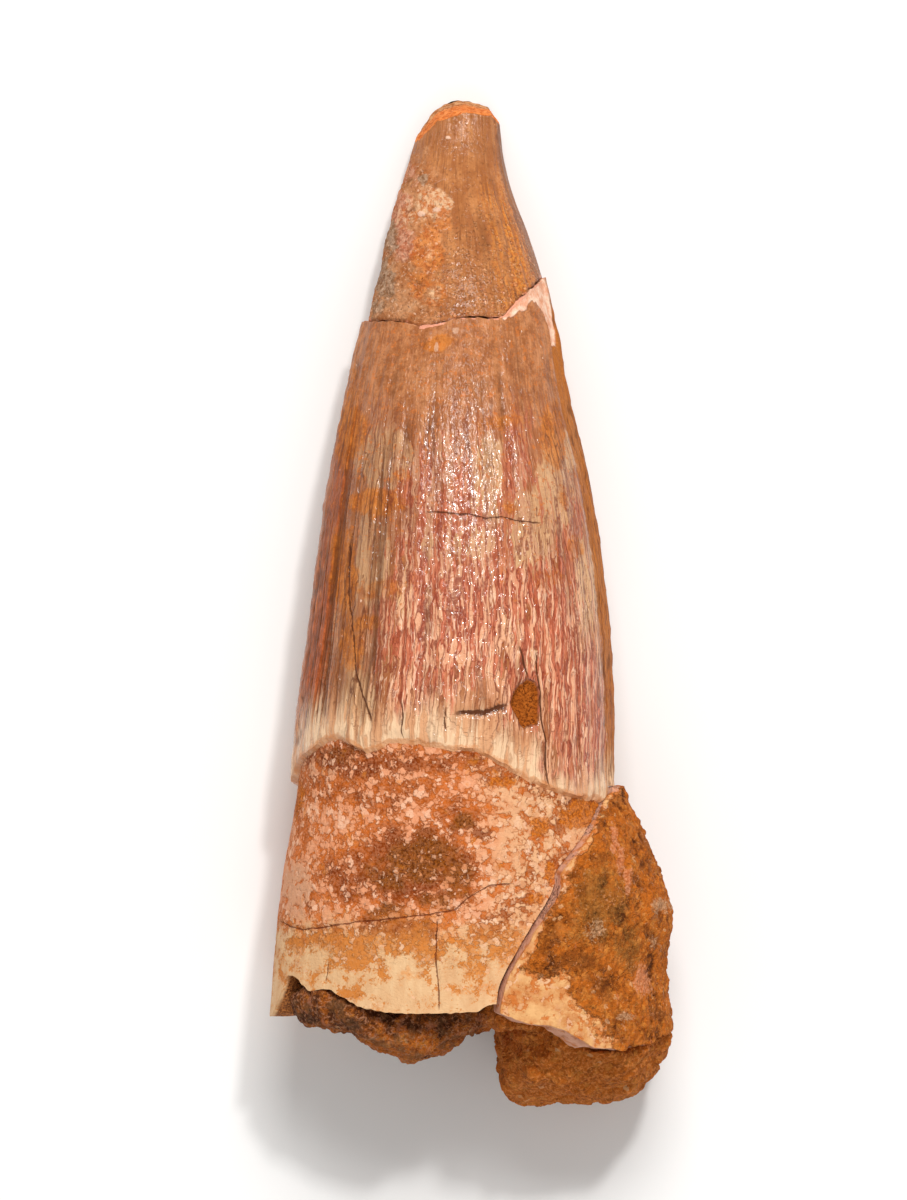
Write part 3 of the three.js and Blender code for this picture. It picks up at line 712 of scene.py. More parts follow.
# %% Streaks and stains of the crown
ROSE = [
    (-1.5, 2.0, 5.0, 8.5, 1.0), (5.2, -1.5, 4.2, 8.0, 0.95), (8.6, -8.5, 2.4, 6.5, 0.85),
    (-5.6, -3.5, 2.8, 5.0, 0.85), (-3.6, 9.5, 3.2, 3.4, 0.7), (3.8, 11.5, 1.3, 6.0, 0.8),
    (7.6, 5.0, 1.8, 5.5, 0.6), (-6.6, 15.0, 2.2, 1.8, 0.4), (-0.6, 14.6, 2.4, 2.0, 0.45),
    (6.4, -12.0, 1.2, 3.2, 0.6),
]
CREAM = [
    (-6.6, 11.6, 2.2, 2.2, 0.9), (1.5, 9.4, 1.1, 3.0, 1.0), (0.2, 4.8, 1.5, 1.8, 0.9),
    (4.6, 5.6, 1.6, 3.2, 0.9), (-7.8, 3.4, 1.4, 3.4, 0.7), (-5.0, 0.6, 0.9, 2.6, 0.7),
    (6.9, 9.2, 1.3, 3.6, 0.7), (9.1, 1.5, 0.9, 4.0, 0.6), (-3.2, 4.6, 0.7, 1.8, 0.6),
    (3.2, -1.6, 0.8, 2.4, 0.5), (8.2, 15.0, 0.7, 5.0, 0.7), (-8.6, -8.0, 1.4, 3.0, 0.6),
    (4.6, -4.6, 1.5, 1.2, 0.7),
]
ORANGE_WASH = [
    (-9.8, 13.6, 1.5, 3.0, 1.0), (-7.6, 8.0, 2.4, 1.3, 0.85), (-5.2, 9.9, 1.0, 0.8, 0.6),
    (2.2, 14.2, 1.9, 0.7, 0.75), (6.6, 13.0, 1.2, 3.0, 0.8), (-7.0, 1.0, 2.4, 0.7, 0.6),
    (8.4, 4.2, 0.8, 1.6, 0.6), (-10.0, 2.4, 1.3, 3.6, 0.8), (-9.4, -3.4, 1.0, 2.6, 0.7),
    (-2.4, 20.6, 1.4, 0.8, 0.9), (-9.2, 17.0, 0.8, 2.4, 0.7), (6.4, 1.8, 1.6, 1.0, 0.5),
    (-8.2, -1.6, 0.9, 1.0, 0.7), (7.4, 8.4, 0.7, 1.2, 0.6), (3.4, 7.6, 0.9, 0.5, 0.7),
]
GLOSSY = [
    (-0.8, 9.2, 2.0, 3.2, 1.0), (0.6, 7.6, 1.2, 2.2, 0.9), (-1.6, 12.4, 1.8, 2.4, 0.7),
    (-0.6, 1.0, 3.0, 4.0, 0.45),
]
glossy = spots(bare, GLOSSY, 171, 0.6, 0.6) * on_top
rose_under = 0.55 * smooth(rough(bare, (5, 9, 5), 57), -0.3, 0.4) * (1 - smooth(y, 8, 16))
rose = mixed(rose_under, spots(bare, ROSE, 56, 0.5, 0.9), on_top)
cream_under = 0.6 * smooth(rough(bare, (3, 8, 3), 58), 0.0, 0.5)
cream_patch = mixed(cream_under, spots(bare, CREAM, 59, 0.5, 0.5), on_top)
orange_under = 0.8 * smooth(rough(bare, (4, 6, 4), 60), 0.05, 0.5)
orange_wash = mixed(orange_under, spots(bare, ORANGE_WASH, 161, 0.5, 0.7), on_top)
STRAY_GRAINS = [
    (-2.6, 20.3, 0.2, 0.42, 1.0), (1.6, 15.5, 0.26, 0.26, 0.9), (5.9, 0.5, 0.3, 0.28, 0.8),
    (-1.1, 21.7, 0.3, 0.3, 0.8),
]
stray_grains = spots(bare, STRAY_GRAINS, 169, 0.4, 0.3) * on_top
tan_stain = smooth(y + 2.2 * rough(bare, (2.5, 4, 2.5), 162), 10.0, 19.0)
print("rose share of the crown:", round(float((rose[above > 0] > 0.5).mean()), 2))

# %% Broken faces, the worn ledge and the cracks
broken_face = 0.16 * rough(bare, 1.1, 67) + 0.06 * grains(bare, 0.6, 68)[0]
relief = np.where(above > 0, crown_relief, root_relief) * (1 - on_ledge)
worn_edge = smooth(above, -LEDGE, LEDGE) * (1 - smooth(above, LEDGE, 1.0 + 0.5 * swell(flow, 2.0, 167)))
relief -= ENAMEL * worn_edge * np.clip(0.3 + 0.5 * rough(flow, 1.8, 168), 0.0, 0.8)
relief = mixed(broken_face - 0.05, relief, skin_deep)

nearest_crack = np.tile([9.0, -9.0, 0.1], (len(bare), 1))
for way, width, depth, line in CRACKS.values():
    offset, inside = crack_place(way, line, bare)
    inside = np.where(on_top > 0.5, inside, -1)
    nearer = np.abs(offset) + 4 * np.maximum(-inside, 0) < np.abs(nearest_crack[:, 0])
    nearest_crack[nearer] = np.stack([offset, inside, np.full(len(bare), width)], axis=1)[nearer]
    open_here = (1 - smooth(np.abs(offset), 0.3 * width, width)) * smooth(inside, 0, 0.5)
    relief -= depth * open_here * skin_deep
# the root has slipped a little along its long crack
slip_way, _, _, slip_line = CRACKS["crack_across_root"]
below_slip = -crack_place(slip_way, slip_line, bare)[0]
relief -= 0.07 * smooth(below_slip, 0, 0.25) * (1 - smooth(below_slip, 1, 3)) * on_top * (above < 0)

# %% The pit, the stray grains and the bare place
in_pit = inside_of(PIT, bare) * on_top + 0.12 * rough(bare, 0.6, 73)
pit = smooth(in_pit, -0.06, 0.22) * on_top
relief -= pit * (0.66 - 0.16 * grain_dome)
relief += 0.12 * stray_grains
bared = smooth(inside_of(BARED_AT_BREAK, bare) + 0.1 * rough(bare, 0.7, 74), -0.03, 0.12) * on_top
relief = mixed(relief, -0.22 + 0.07 * rough(bare, 0.8, 75), bared * skin_deep)

move_points(tooth_mesh, bare + normals_of(tooth_mesh) * relief[:, None])
print("relief of the tooth in mm:", span_of(relief))

# %% What the tooth's materials read
tooth_values = {
    "place": bare, "flow": flow, "crack": nearest_crack, "above": np.clip(above, -30, 60),
    "deep": depth_below, "on_top": on_top, "relief": relief, "rust": rust, "dark": dark, "islands": islands,
    "grey": grey_skin, "gold": gold_stain, "rose": rose, "cream": cream_patch, "wash": orange_wash,
    "tan": tan_stain, "stray": stray_grains, "glossy": glossy, "left_side": left_side,
    "under_break": np.clip(tip_break(angle) - y, -1, 50), "pit": pit, "bared": bared,
}
for name, values in tooth_values.items():
    keep(tooth_mesh, name, values)
print("values kept on the tooth:", len(tooth_values))

# %% [markdown]
# ## The glued tip
# The tip is worn smooth on its right side and rough on its left, where sand still sticks to it. Its end has
# been chipped off by four small breaks. The skin is stacked from rings as before, and each chip is made by
# pressing the points beyond a rough plane back onto it, which keeps the skin closed without a boolean.

# %% The tip's form and relief
TIP_COLUMNS, TIP_ROWS, TIP_RIM_ROWS = 250, 128, 16
TIP_RIDGES = [(0.05, 1.6, 16, 86), (0.04, 0.8, 8, 87), (0.02, 0.4, 3, 88)]
ROUGH_SIDE = 160
BLUNT = 0.12

tip_angles = np.linspace(0, 360, TIP_COLUMNS, endpoint=False)
tip_low = ragged_tip_break(tip_angles) + 0.1 + 0.08 * swell(round_place(tip_angles, 0.0), 1.3, 81)
tip_heights = [mixed(tip_low, TIP_END, step / TIP_ROWS) for step in range(TIP_ROWS + 1)]
tip_rings = [on_section(tip_section, height, tip_angles) for height in tip_heights]
for step in range(1, TIP_RIM_ROWS + 1):
    shrink = 1 - step / (TIP_RIM_ROWS + 1)
    under_y = mixed(BREAK_MIDDLE + FIT_GAP, tip_low, shrink)
    tip_rings.insert(0, on_section(tip_section, under_y, tip_angles, 0.0, shrink))
    tip_rings.append(on_section(tip_section, TIP_END, tip_angles, 0.0, shrink))
tip_mesh = ring_skin("tip", np.array(tip_rings))


def press_onto(points, at, facing):
    """Points beyond a rough plane go back onto it, with a blunt edge. Also says which points those were."""
    way = np.array(facing) / np.linalg.norm(facing)
    uneven = 0.22 * rough(points, 1.5, 83) + 0.07 * rough(points, 0.5, 84)
    beyond = (points - np.array(at)) @ way - uneven
    pressed = np.where(beyond > -BLUNT, (np.maximum(beyond, -BLUNT) + BLUNT) ** 2 / (4 * BLUNT), 0)
    pressed = np.where(beyond > BLUNT, beyond, pressed)
    return points - pressed[:, None] * way, smooth(beyond, -0.25, 0.15)


tip_bare = points_of(tip_mesh)
tip_angle, _ = place_on(tip_section, tip_bare)
facing_left = np.cos(np.radians(tip_angle - ROUGH_SIDE))
sandy = smooth(facing_left + 0.5 * rough(tip_bare, 2.2, 85), 0.35, 0.95)
sandy = sandy * (1 - 0.7 * smooth(tip_bare[:, 1], 33, 37))
tip_flow = round_place(tip_angle, tip_bare[:, 1])
tip_relief = mixed(0.05, 0.2, sandy) * rough(tip_bare, 2.4, 9)
tip_relief += (1 - 0.7 * sandy) * ridges(tip_flow, TIP_RIDGES)
tip_dome, _ = grains(tip_bare, 0.42, 89)
tip_relief += sandy * (0.1 * tip_dome + 0.07 * rough(tip_bare, 0.7, 90))
right_grooves = smooth(np.cos(np.radians(tip_angle - 45)), 0.75, 0.95) * (1 - smooth(tip_bare[:, 1], 30, 35))
tip_relief -= 0.07 * right_grooves * (1 - smooth(np.abs(swell(tip_flow, (1.1, 1.1, 14), 91)), 0, 0.3))
print("sandy share of the tip:", round(float((sandy > 0.5).mean()), 2))

# %% The tip's stains, blobs and chips
TIP_STAIN_PLACES = {
    "cream": [
        (-2.9, 32.0, 1.3, 1.5, 1.0), (-4.6, 31.2, 1.3, 1.4, 0.6), (-3.0, 24.6, 0.7, 0.8, 0.7),
        (-3.4, 28.0, 0.6, 1.0, 0.5),
    ],
    "orange": [
        (-3.2, 28.0, 1.3, 2.2, 1.0), (-4.0, 25.4, 1.2, 1.4, 0.7), (-2.0, 30.2, 0.9, 0.8, 0.8),
        (-2.4, 24.4, 1.0, 0.9, 0.6),
    ],
    "pink": [(-5.6, 31.4, 1.0, 1.8, 0.9), (-5.4, 28.6, 1.2, 1.4, 0.9), (-4.8, 34.4, 0.8, 1.0, 0.6)],
    "grey": [
        (-6.8, 25.6, 0.9, 1.9, 0.9), (-6.4, 29.2, 0.7, 1.4, 0.9), (-3.7, 33.7, 0.5, 0.5, 1.0),
        (-7.4, 23.6, 0.6, 0.8, 0.6),
    ],
}
BARE_BLOBS = [(-3.9, 31.0, 0.3, 0.22, 1.0), (-2.7, 31.4, 0.36, 0.2, 0.9), (-1.8, 37.2, 0.2, 0.2, 0.7)]
tip_side = smooth(tip_bare[:, 2], 1.0, 2.5)
tip_stains = {
    name: spots(tip_bare, rows, 93 + 20 * number, 0.5, 0.6) * tip_side
    for number, (name, rows) in enumerate(TIP_STAIN_PLACES.items())
}
sandy = np.maximum(sandy, 0.85 * np.max(list(tip_stains.values()), axis=0))
blobs = spots(tip_bare, BARE_BLOBS, 92, 0.3, 0.15) * (tip_bare[:, 2] > 5)
tip_relief += 0.16 * blobs
tip_points = tip_bare + normals_of(tip_mesh) * tip_relief[:, None]
chipped = np.zeros(len(tip_points))
for at, facing in TIP_CHIPS:
    tip_points, here = press_onto(tip_points, at, facing)
    chipped = np.maximum(chipped, here)
move_points(tip_mesh, tip_points)
tip_values = {
    "place": tip_bare, "flow": tip_flow, "above": tip_bare[:, 1] - tip_break(tip_angle), "relief": tip_relief,
    "sandy": sandy, "chipped": chipped, "blobs": blobs, **tip_stains,
}
for name, values in tip_values.items():
    keep(tip_mesh, name, values)
print("points of the tip:", len(tip_points), "chipped:", int((chipped > 0.5).sum()))

# %% [markdown]
# ## The splinter
# The splinter is a curved slab of root wall, 2.6 mm thick. It has been pushed out until it stands proud of
# the root, and coarse sand is stuck all over it. Only its lower corner shows clean bone. It is laid out
# between its two cracks, like the piece that it is. Its broken edges wander a little, and grains are raised
# on its outer face.

# %% The splinter's form and relief
SPLINTER_STEPS = (190, 150, 14)
FRONT_GAP = np.degrees(0.22 / ROOT_RADIUS)
BACK_GAP = np.degrees(CRACK_WIDTH / ROOT_RADIUS)


def pushed_out(y, angle):
    """How far the splinter has been pushed out at a place on the root."""
    front, back = front_crack(y), back_crack(y)
    upper_share = np.clip((front - angle) / np.maximum(front - SIDE_ANGLE, 1), 0, 1)
    upper = mixed(pushed_at_crack(y), pushed_at_side(y), upper_share)
    lower_share = np.clip((SIDE_ANGLE - angle) / (SIDE_ANGLE - back), 0, 1)
    lower = mixed(pushed_at_side(y), PUSHED_UNDERNEATH, lower_share**2)
    return np.where(angle >= SIDE_ANGLE, upper, lower)


def splinter_place(across, along, out):
    """A place in the slab. Its front edge comes close to the tooth, as a fresh break does."""
    rough_y = mixed(SPLINTER_FOOT, SPLINTER_TOP, along)
    rough_angle = mixed(front_crack(rough_y) - FRONT_GAP, back_crack(rough_y) + BACK_GAP, across)
    bottom = splinter_edge(rough_angle)
    bottom = bottom + 0.3 * rough(np.stack([rough_angle / 6, out, out], axis=1), 0.8, 101)
    y = mixed(bottom, SPLINTER_TOP + 0.2, along)
    angle = mixed(front_crack(y) - FRONT_GAP, back_crack(y) + BACK_GAP, across)
    ragged = 0.5 * rough(np.stack([y, 3 * out, y], axis=1), 1.3, 102) * (1 - smooth(across, 0, 0.12))
    pushed = pushed_out(y, angle)
    outward = mixed(pushed - SPLINTER_THICKNESS, pushed, out)
    return on_section(tooth_section, y, angle + ragged, outward)


splinter_mesh = slab_skin("splinter", SPLINTER_STEPS, splinter_place)
splinter_bare = points_of(splinter_mesh)
splinter_angle, splinter_out = place_on(tooth_section, splinter_bare)
signed_angle = (splinter_angle + 180) % 360 - 180
splinter_y = splinter_bare[:, 1]
on_face = smooth(splinter_out - pushed_out(splinter_y, signed_angle), -0.5, -0.05)
print("points of the splinter:", len(splinter_bare))

# %% The splinter's clean bone
CLEAN_BONE = [
    (2.0, -32.5), (2.5, -29.4), (4.2, -28.2), (5.6, -29.6), (7.4, -29.2), (8.5, -31.6), (11.0, -34.2),
    (11.0, -36.0), (2.0, -36.0),
]
clean = smooth(inside_of(CLEAN_BONE, splinter_bare) + 0.7 * rough(splinter_bare, 1.4, 103), -1.2, 1.3)
from_front = np.radians(front_crack(splinter_y) - signed_angle) * ROOT_RADIUS
strip = 1 - smooth(from_front + 0.4 * rough(splinter_bare, 1.0, 109), 0.3, 1.1)
STRIP_ALONG = [(-34, 1), (-26, 1), (-24, 0.45), (-21.5, 1), (-19.5, 0.9), (-17, 0.3), (-14.9, 0.8)]
strip_here = np.interp(splinter_y, *zip(*STRIP_ALONG))
clean = np.maximum(clean, strip * strip_here) * smooth(splinter_bare[:, 2], 11, 13.5)
print("clean share of the splinter:", round(float((clean > 0.5).mean()), 2))

# %% The splinter's stains and sand
SPLINTER_STAIN_PLACES = {
    "pink": [
        (11.3, -18.9, 0.28, 1.0, 0.9), (11.9, -20.4, 0.28, 1.1, 0.9), (12.5, -22.0, 0.3, 1.0, 0.8),
        (13.5, -29.7, 0.55, 1.2, 1.0),
    ],
    "pale": [
        (15.0, -24.1, 0.7, 0.6, 0.9), (10.1, -25.7, 1.0, 0.8, 0.6), (12.4, -32.6, 0.45, 0.4, 1.0),
        (10.9, -32.9, 0.3, 0.3, 0.9), (14.6, -27.2, 0.5, 0.6, 0.5),
    ],
    "olive": [(10.2, -23.8, 2.0, 2.8, 0.8), (12.4, -27.0, 1.4, 2.0, 0.6), (8.4, -25.6, 1.2, 1.4, 0.5)],
    "dark": [
        (10.5, -20.1, 0.6, 0.7, 0.8), (10.5, -30.5, 0.8, 0.9, 0.9), (8.6, -28.1, 1.6, 0.8, 0.9),
        (15.1, -32.5, 0.6, 0.7, 0.9), (9.0, -22.6, 0.5, 0.9, 0.6), (14.0, -20.0, 0.6, 1.2, 0.6),
    ],
}
facing_out = splinter_bare[:, 2] > 8
for number, (name, rows) in enumerate(SPLINTER_STAIN_PLACES.items()):
    keep(splinter_mesh, name, spots(splinter_bare, rows, 115 + 20 * number, 0.7, 0.6) * facing_out)
PROUD_GRAINS = 0.8
sand_dome, sand_own = grains(splinter_bare, 0.62, 104)
sand = 0.2 * rough(splinter_bare, 3.0, 21) + 0.32 * rough(splinter_bare, 1.3, 106, 4)
sand += 0.14 * sand_dome * (sand_own > PROUD_GRAINS) + 0.08 * rough(splinter_bare, 0.45, 110, 2)
grit_dome, grit_own = grains(splinter_bare, 0.4, 117)
sand += 0.1 * (grit_dome - 0.4) * (0.4 + grit_own)
splinter_relief = mixed(sand, 0.06 * rough(splinter_bare, 1.0, 107, 4), clean) * on_face
splinter_relief += (1 - on_face) * 0.1 * rough(splinter_bare, 0.8, 108)
move_points(splinter_mesh, splinter_bare + normals_of(splinter_mesh) * splinter_relief[:, None])
splinter_values = {"place": splinter_bare, "relief": splinter_relief, "clean": clean, "face": on_face}
for name, values in splinter_values.items():
    keep(splinter_mesh, name, values)
print("relief of the splinter in mm:", span_of(splinter_relief))

# %% [markdown]
# ## The sand
# The sand is one hard mass: it fills the hollow, comes out of the broken end and runs on behind the
# splinter into a lump. Its solid in the frame already has that shape, so a copy of it is remeshed into
# small even faces. These are smoothed until its flats are gone, and then pushed in and out into lumps,
# hollows and grains.

# %% The sand's form and relief
VOXEL = 0.25
SMOOTHING_STEPS = 14


def remeshed(node, voxel, smoothing):
    """A copy of a solid of the frame in millimetres, with small even faces."""
    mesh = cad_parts[node].data.copy()
    mesh.transform(Matrix.Scale(1 / MM, 4))
    welding = bmesh.new()
    welding.from_mesh(mesh)
    bmesh.ops.remove_doubles(welding, verts=welding.verts, dist=1e-4)
    welding.to_mesh(mesh)
    welding.free()
    thing = bpy.data.objects.new(node + " copy", mesh)
    scene.collection.objects.link(thing)
    remesh = thing.modifiers.new("small faces", "REMESH")
    remesh.mode, remesh.voxel_size = "VOXEL", voxel
    relax = thing.modifiers.new("no flats", "SMOOTH")
    relax.factor, relax.iterations = 0.5, smoothing
    made = bpy.data.meshes.new_from_object(thing.evaluated_get(bpy.context.evaluated_depsgraph_get()))
    bpy.data.objects.remove(thing)
    bpy.data.meshes.remove(mesh)
    for attribute in [a.name for a in made.attributes if not a.is_required and not a.is_internal]:
        made.attributes.remove(made.attributes[attribute])
    made.materials.clear()
    return made


sand_mesh = remeshed("sandstone_matrix", VOXEL, SMOOTHING_STEPS)
sand_bare = points_of(sand_mesh)
stone_dome, stone_own = grains(sand_bare, 0.8, 111)
stone = 0.5 * rough(sand_bare, 2.6, 113) + 0.5 * rough(sand_bare, 1.2, 114, 4)
stone += 0.22 * stone_dome * (stone_own > PROUD_GRAINS) + 0.1 * rough(sand_bare, 0.6, 112, 2)
grit_dome, grit_own = grains(sand_bare, 0.6, 118)
stone += 0.22 * (grit_dome - 0.4) * (0.4 + grit_own)
on_ground = 1 - smooth(sand_bare[:, 2], 0.15, 0.8)
sand_relief = (stone + 0.12) * (1 - on_ground)
move_points(sand_mesh, sand_bare + normals_of(sand_mesh) * sand_relief[:, None])
sand_values = {
    "place": sand_bare, "relief": sand_relief, "on_top": smooth(sand_bare[:, 2], 4, 14),
    "inside": 1 - smooth(sand_bare[:, 0], 0.5, 2.5),
}
for name, values in sand_values.items():
    keep(sand_mesh, name, values)
print("points of the sand:", len(sand_bare))

# %% [markdown]
# ## Recipes
# A material is a tree of nodes, and written out node by node it is hard to read. A small helper writes them
# like a recipe instead: each line takes numbers or earlier results and gives a new one.


# %% A helper for node trees
class Recipe:
    """Adds nodes to one tree. A value is a number, a colour or the output of another node."""

    def __init__(self, tree):
        self.tree = tree

    def step(self, kind, **settings):
        node = self.tree.nodes.new(kind)
        node.location = (220 * (len(self.tree.nodes) % 12), -260 * (len(self.tree.nodes) // 12))
        for name, value in settings.items():
            setattr(node, name, value)
        return node

    def feed(self, socket, value):
        if isinstance(value, bpy.types.NodeSocket):
            self.tree.links.new(value, socket)
        else:
            socket.default_value = value

    def read(self, name, vector=False):
        """A number or a vector that was kept on the mesh."""
        node = self.step("ShaderNodeAttribute", attribute_name=name)
        return node.outputs["Vector" if vector else "Fac"]

    def math(self, operation, *values, clamp=False):
        node = self.step("ShaderNodeMath", operation=operation, use_clamp=clamp)
        for socket, value in zip(node.inputs, values):
            self.feed(socket, value)
        return node.outputs[0]

    def times(self, *values):
        result = values[0]
        for value in values[1:]:
            result = self.math("MULTIPLY", result, value)
        return result

    def plus(self, first, second):
        return self.math("ADD", first, second)

    def centred(self, value):
        """A number from 0 to 1, moved to lie around 0."""
        return self.math("SUBTRACT", value, 0.5)

    def most(self, *values):
        result = values[0]
        for value in values[1:]:
            result = self.math("MAXIMUM", result, value)
        return result

    def rest_of(self, value):
        return self.math("SUBTRACT", 1.0, value, clamp=True)

    def slope(self, value, low, high, start=0.0, end=1.0):
        """start below low, end above high and a soft slope between them."""
        node = self.step("ShaderNodeMapRange", interpolation_type="SMOOTHSTEP")
        self.fill(node, Value=value, From_Min=low, From_Max=high, To_Min=start, To_Max=end)
        return node.outputs[0]

    def mix(self, share, first, second):
        """first at share 0 and second at share 1."""
        node = self.step("ShaderNodeMix", data_type="RGBA")
        self.feed(node.inputs[0], share)
        self.feed(node.inputs[6], first)
        self.feed(node.inputs[7], second)
        return node.outputs[2]

    def tones(self, share, first, second):
        """The same with two plain colours, each as a screen shows it."""
        return self.mix(share, colour(*first), colour(*second))

    def stretch(self, place, x, y, z):
        node = self.step("ShaderNodeVectorMath", operation="MULTIPLY")
        self.feed(node.inputs[0], place)
        self.feed(node.inputs[1], (x, y, z))
        return node.outputs[0]

    def fill(self, node, **inputs):
        """Feeds named inputs. Underscores in the names stand for spaces."""
        for name, value in inputs.items():
            self.feed(node.inputs[name.replace("_", " ")], value)
        return node

    def scale_for(self, size):
        return 1 / size if isinstance(size, (int, float)) else self.math("DIVIDE", 1.0, size)

    def noise(self, place, size, detail=2.0, roughness=0.5, bent=0.0):
        """Soft noise from 0 to 1 with swellings of that size in millimetres."""
        node = self.step("ShaderNodeTexNoise")
        scale = self.scale_for(size)
        self.fill(node, Vector=place, Scale=scale, Detail=detail, Roughness=roughness, Distortion=bent)
        return node.outputs[0]

    def cells(self, place, size):
        """Grains of that size: a distance from the middle and a colour for each."""
        node = self.step("ShaderNodeTexVoronoi")
        return self.fill(node, Vector=place, Scale=self.scale_for(size))

    def bent(self, place, size, amount):
        """The same place, pushed about by up to half the amount."""
        push = self.noise(place, size, 2.0).node.outputs["Color"]
        centred = self.step_on("ShaderNodeVectorMath", push, operation="SUBTRACT")
        centred.inputs[1].default_value = (0.5, 0.5, 0.5)
        moved = self.step_on("ShaderNodeVectorMath", centred.outputs[0], operation="MULTIPLY_ADD")
        moved.inputs[1].default_value = (amount, amount, amount)
        self.feed(moved.inputs[2], place)
        return moved.outputs[0]

    def step_on(self, kind, value, **settings):
        node = self.step(kind, **settings)
        self.feed(node.inputs[0], value)
        return node

    def group(self, tree, **inputs):
        """Places a shared group."""
        return self.fill(self.step("ShaderNodeGroup", node_tree=tree), **inputs).outputs

    def total(self, *parts):
        """The sum of (number, value) pairs."""
        result = self.times(*parts[0])
        for part in parts[1:]:
            result = self.plus(result, self.times(*part))
        return result

    def bump(self, *parts):
        """Relief as shading. Each part is its depth in millimetres and a height from 0 to 1."""
        node = self.step("ShaderNodeBump")
        self.feed(node.inputs["Height"], self.total(*parts))
        node.inputs["Strength"].default_value = 1.0
        node.inputs["Distance"].default_value = MM
        return node.outputs[0]


def shared_group(name, takes, gives):
    """An empty node group with named sockets, and the recipe, inputs and output node to fill it."""
    tree = bpy.data.node_groups.new(name, "ShaderNodeTree")
    for label, kind, start in takes:
        socket = tree.interface.new_socket(label, in_out="INPUT", socket_type="NodeSocket" + kind)
        if start is not None:
            socket.default_value = start
    for label, kind in gives:
        tree.interface.new_socket(label, in_out="OUTPUT", socket_type="NodeSocket" + kind)
    recipe = Recipe(tree)
    return tree, recipe, recipe.step("NodeGroupInput").outputs, recipe.step("NodeGroupOutput").inputs


def finish_called(name):
    """A new material with an empty Principled shader, and its recipe."""
    material = bpy.data.materials.new(name)
    material.use_nodes = True
    shader = material.node_tree.nodes["Principled BSDF"]
    return material, Recipe(material.node_tree), shader.inputs


def evenly(shader, **values):
    """Sets inputs that are the same all over the piece. Underscores in the names stand for spaces."""
    for name, value in values.items():
        shader[name.replace("_", " ")].default_value = value


# %% [markdown]
# ## Effects that several finishes share
# **Ragged patch** turns a soft mask into a crisp stain with grainy borders, as rust creeps between grains.
# ** Fine streaks** are the brush-like lines in fossil enamel, with thin dark lines between them. **Speckled
# bone** is weathered dentine: pale islands with rust in the low places between them, and the more stain
# there is, the smaller the islands; where it is stained, painted shade darkens the rust along the islands'
# borders. **Iron-stained sand** is the orange to near-black sand of the river bed, grain by grain, with
# painted shade in the gaps between the grains. **Hairline crack** draws a thin dark line from the distance
# that is kept on the mesh, so it stays sharp however coarse the mesh is. Each is a group with named inputs,
# built once and placed with its own values.

# %% Ragged patch
ragged_patch, r, takes, gives = shared_group(
    "ragged patch",
    [("Mask", "Float", 0.0), ("Place", "Vector", None), ("Grain", "Float", 0.4), ("Ragged", "Float", 0.6),
     ("Level", "Float", 0.5), ("Soft", "Float", 0.08)],
    [("Patch", "Float")],
)
coarse = r.noise(takes["Place"], takes["Grain"], 3.5, 0.72)
shifted = r.plus(takes["Mask"], r.times(r.centred(coarse), r.times(takes["Ragged"], 2.0)))
low = r.math("SUBTRACT", takes["Level"], takes["Soft"])
r.feed(gives["Patch"], r.slope(shifted, low, r.plus(takes["Level"], takes["Soft"])))


def patch_of(r, mask, place, grain, ragged, level, soft):
    """The ragged patch that a mask makes in a finish."""
    values = {"Mask": mask, "Place": place, "Grain": grain, "Ragged": ragged, "Level": level, "Soft": soft}
    return r.group(ragged_patch, **values)["Patch"]


# %% Speckled bone
SHADE_TINT = colour(84, 34, 8)
LIGHT_ISLAND_TINT = colour(255, 220, 190)
speckled_bone, r, takes, gives = shared_group(
    "speckled bone",
    [
        ("Place", "Vector", None), ("Stain", "Float", 0.5), ("Grain", "Float", 0.42),
        ("Bone", "Color", (1, 1, 1, 1)), ("Rust", "Color", (0.3, 0.1, 0.02, 1)),
    ],
    [("Colour", "Color"), ("Height", "Float")],
)
shaken = r.bent(takes["Place"], 0.4, 0.8)
near = r.cells(shaken, takes["Grain"])
own = r.step_on("ShaderNodeSeparateColor", near.outputs["Color"]).outputs
clusters = r.noise(takes["Place"], r.times(takes["Grain"], 1.9), 3.0, 0.65)
finer = r.noise(takes["Place"], r.times(takes["Grain"], 0.45), 2.0, 0.6)
stain_here = r.total(
    (1.0, takes["Stain"]), (1.3, r.centred(clusters)), (0.35, r.centred(own[0])),
    (0.5, r.centred(finer)),
)
radius = r.math("SUBTRACT", 1.05, stain_here)
beyond = r.math("SUBTRACT", near.outputs["Distance"], radius)
island = r.slope(beyond, -0.09, 0.07, 1.0, 0.0)
# painted shade: where the bone is stained, the rust darkens along the islands' borders as if they shaded it
in_shade = r.mix(0.6, takes["Rust"], SHADE_TINT)
stained = r.slope(takes["Stain"], 0.2, 0.5)
tint = r.mix(r.slope(finer, 0.4, 0.6, 0.0, 0.25), takes["Rust"], takes["Bone"])
tint = r.mix(r.times(r.slope(beyond, 0.02, 0.2, 0.6, 0.0), stained), tint, in_shade)
rim = r.times(r.slope(beyond, -0.3, -0.02, 0.0, 0.35), stained)
grain_tint = r.mix(r.slope(own[1], 0.6, 1.0, 0.0, 0.4), takes["Bone"], LIGHT_ISLAND_TINT)
grain_tint = r.mix(r.slope(own[2], 0.5, 1.0, 0.0, 0.45), grain_tint, takes["Rust"])
grain_tint = r.mix(rim, grain_tint, takes["Rust"])
grain_tint = r.mix(r.slope(takes["Stain"], 0.1, 0.4), takes["Bone"], grain_tint)
r.feed(gives["Colour"], r.mix(island, tint, grain_tint))
r.feed(gives["Height"], r.total((0.5, r.slope(beyond, 0.15, -0.3)), (0.8, finer)))

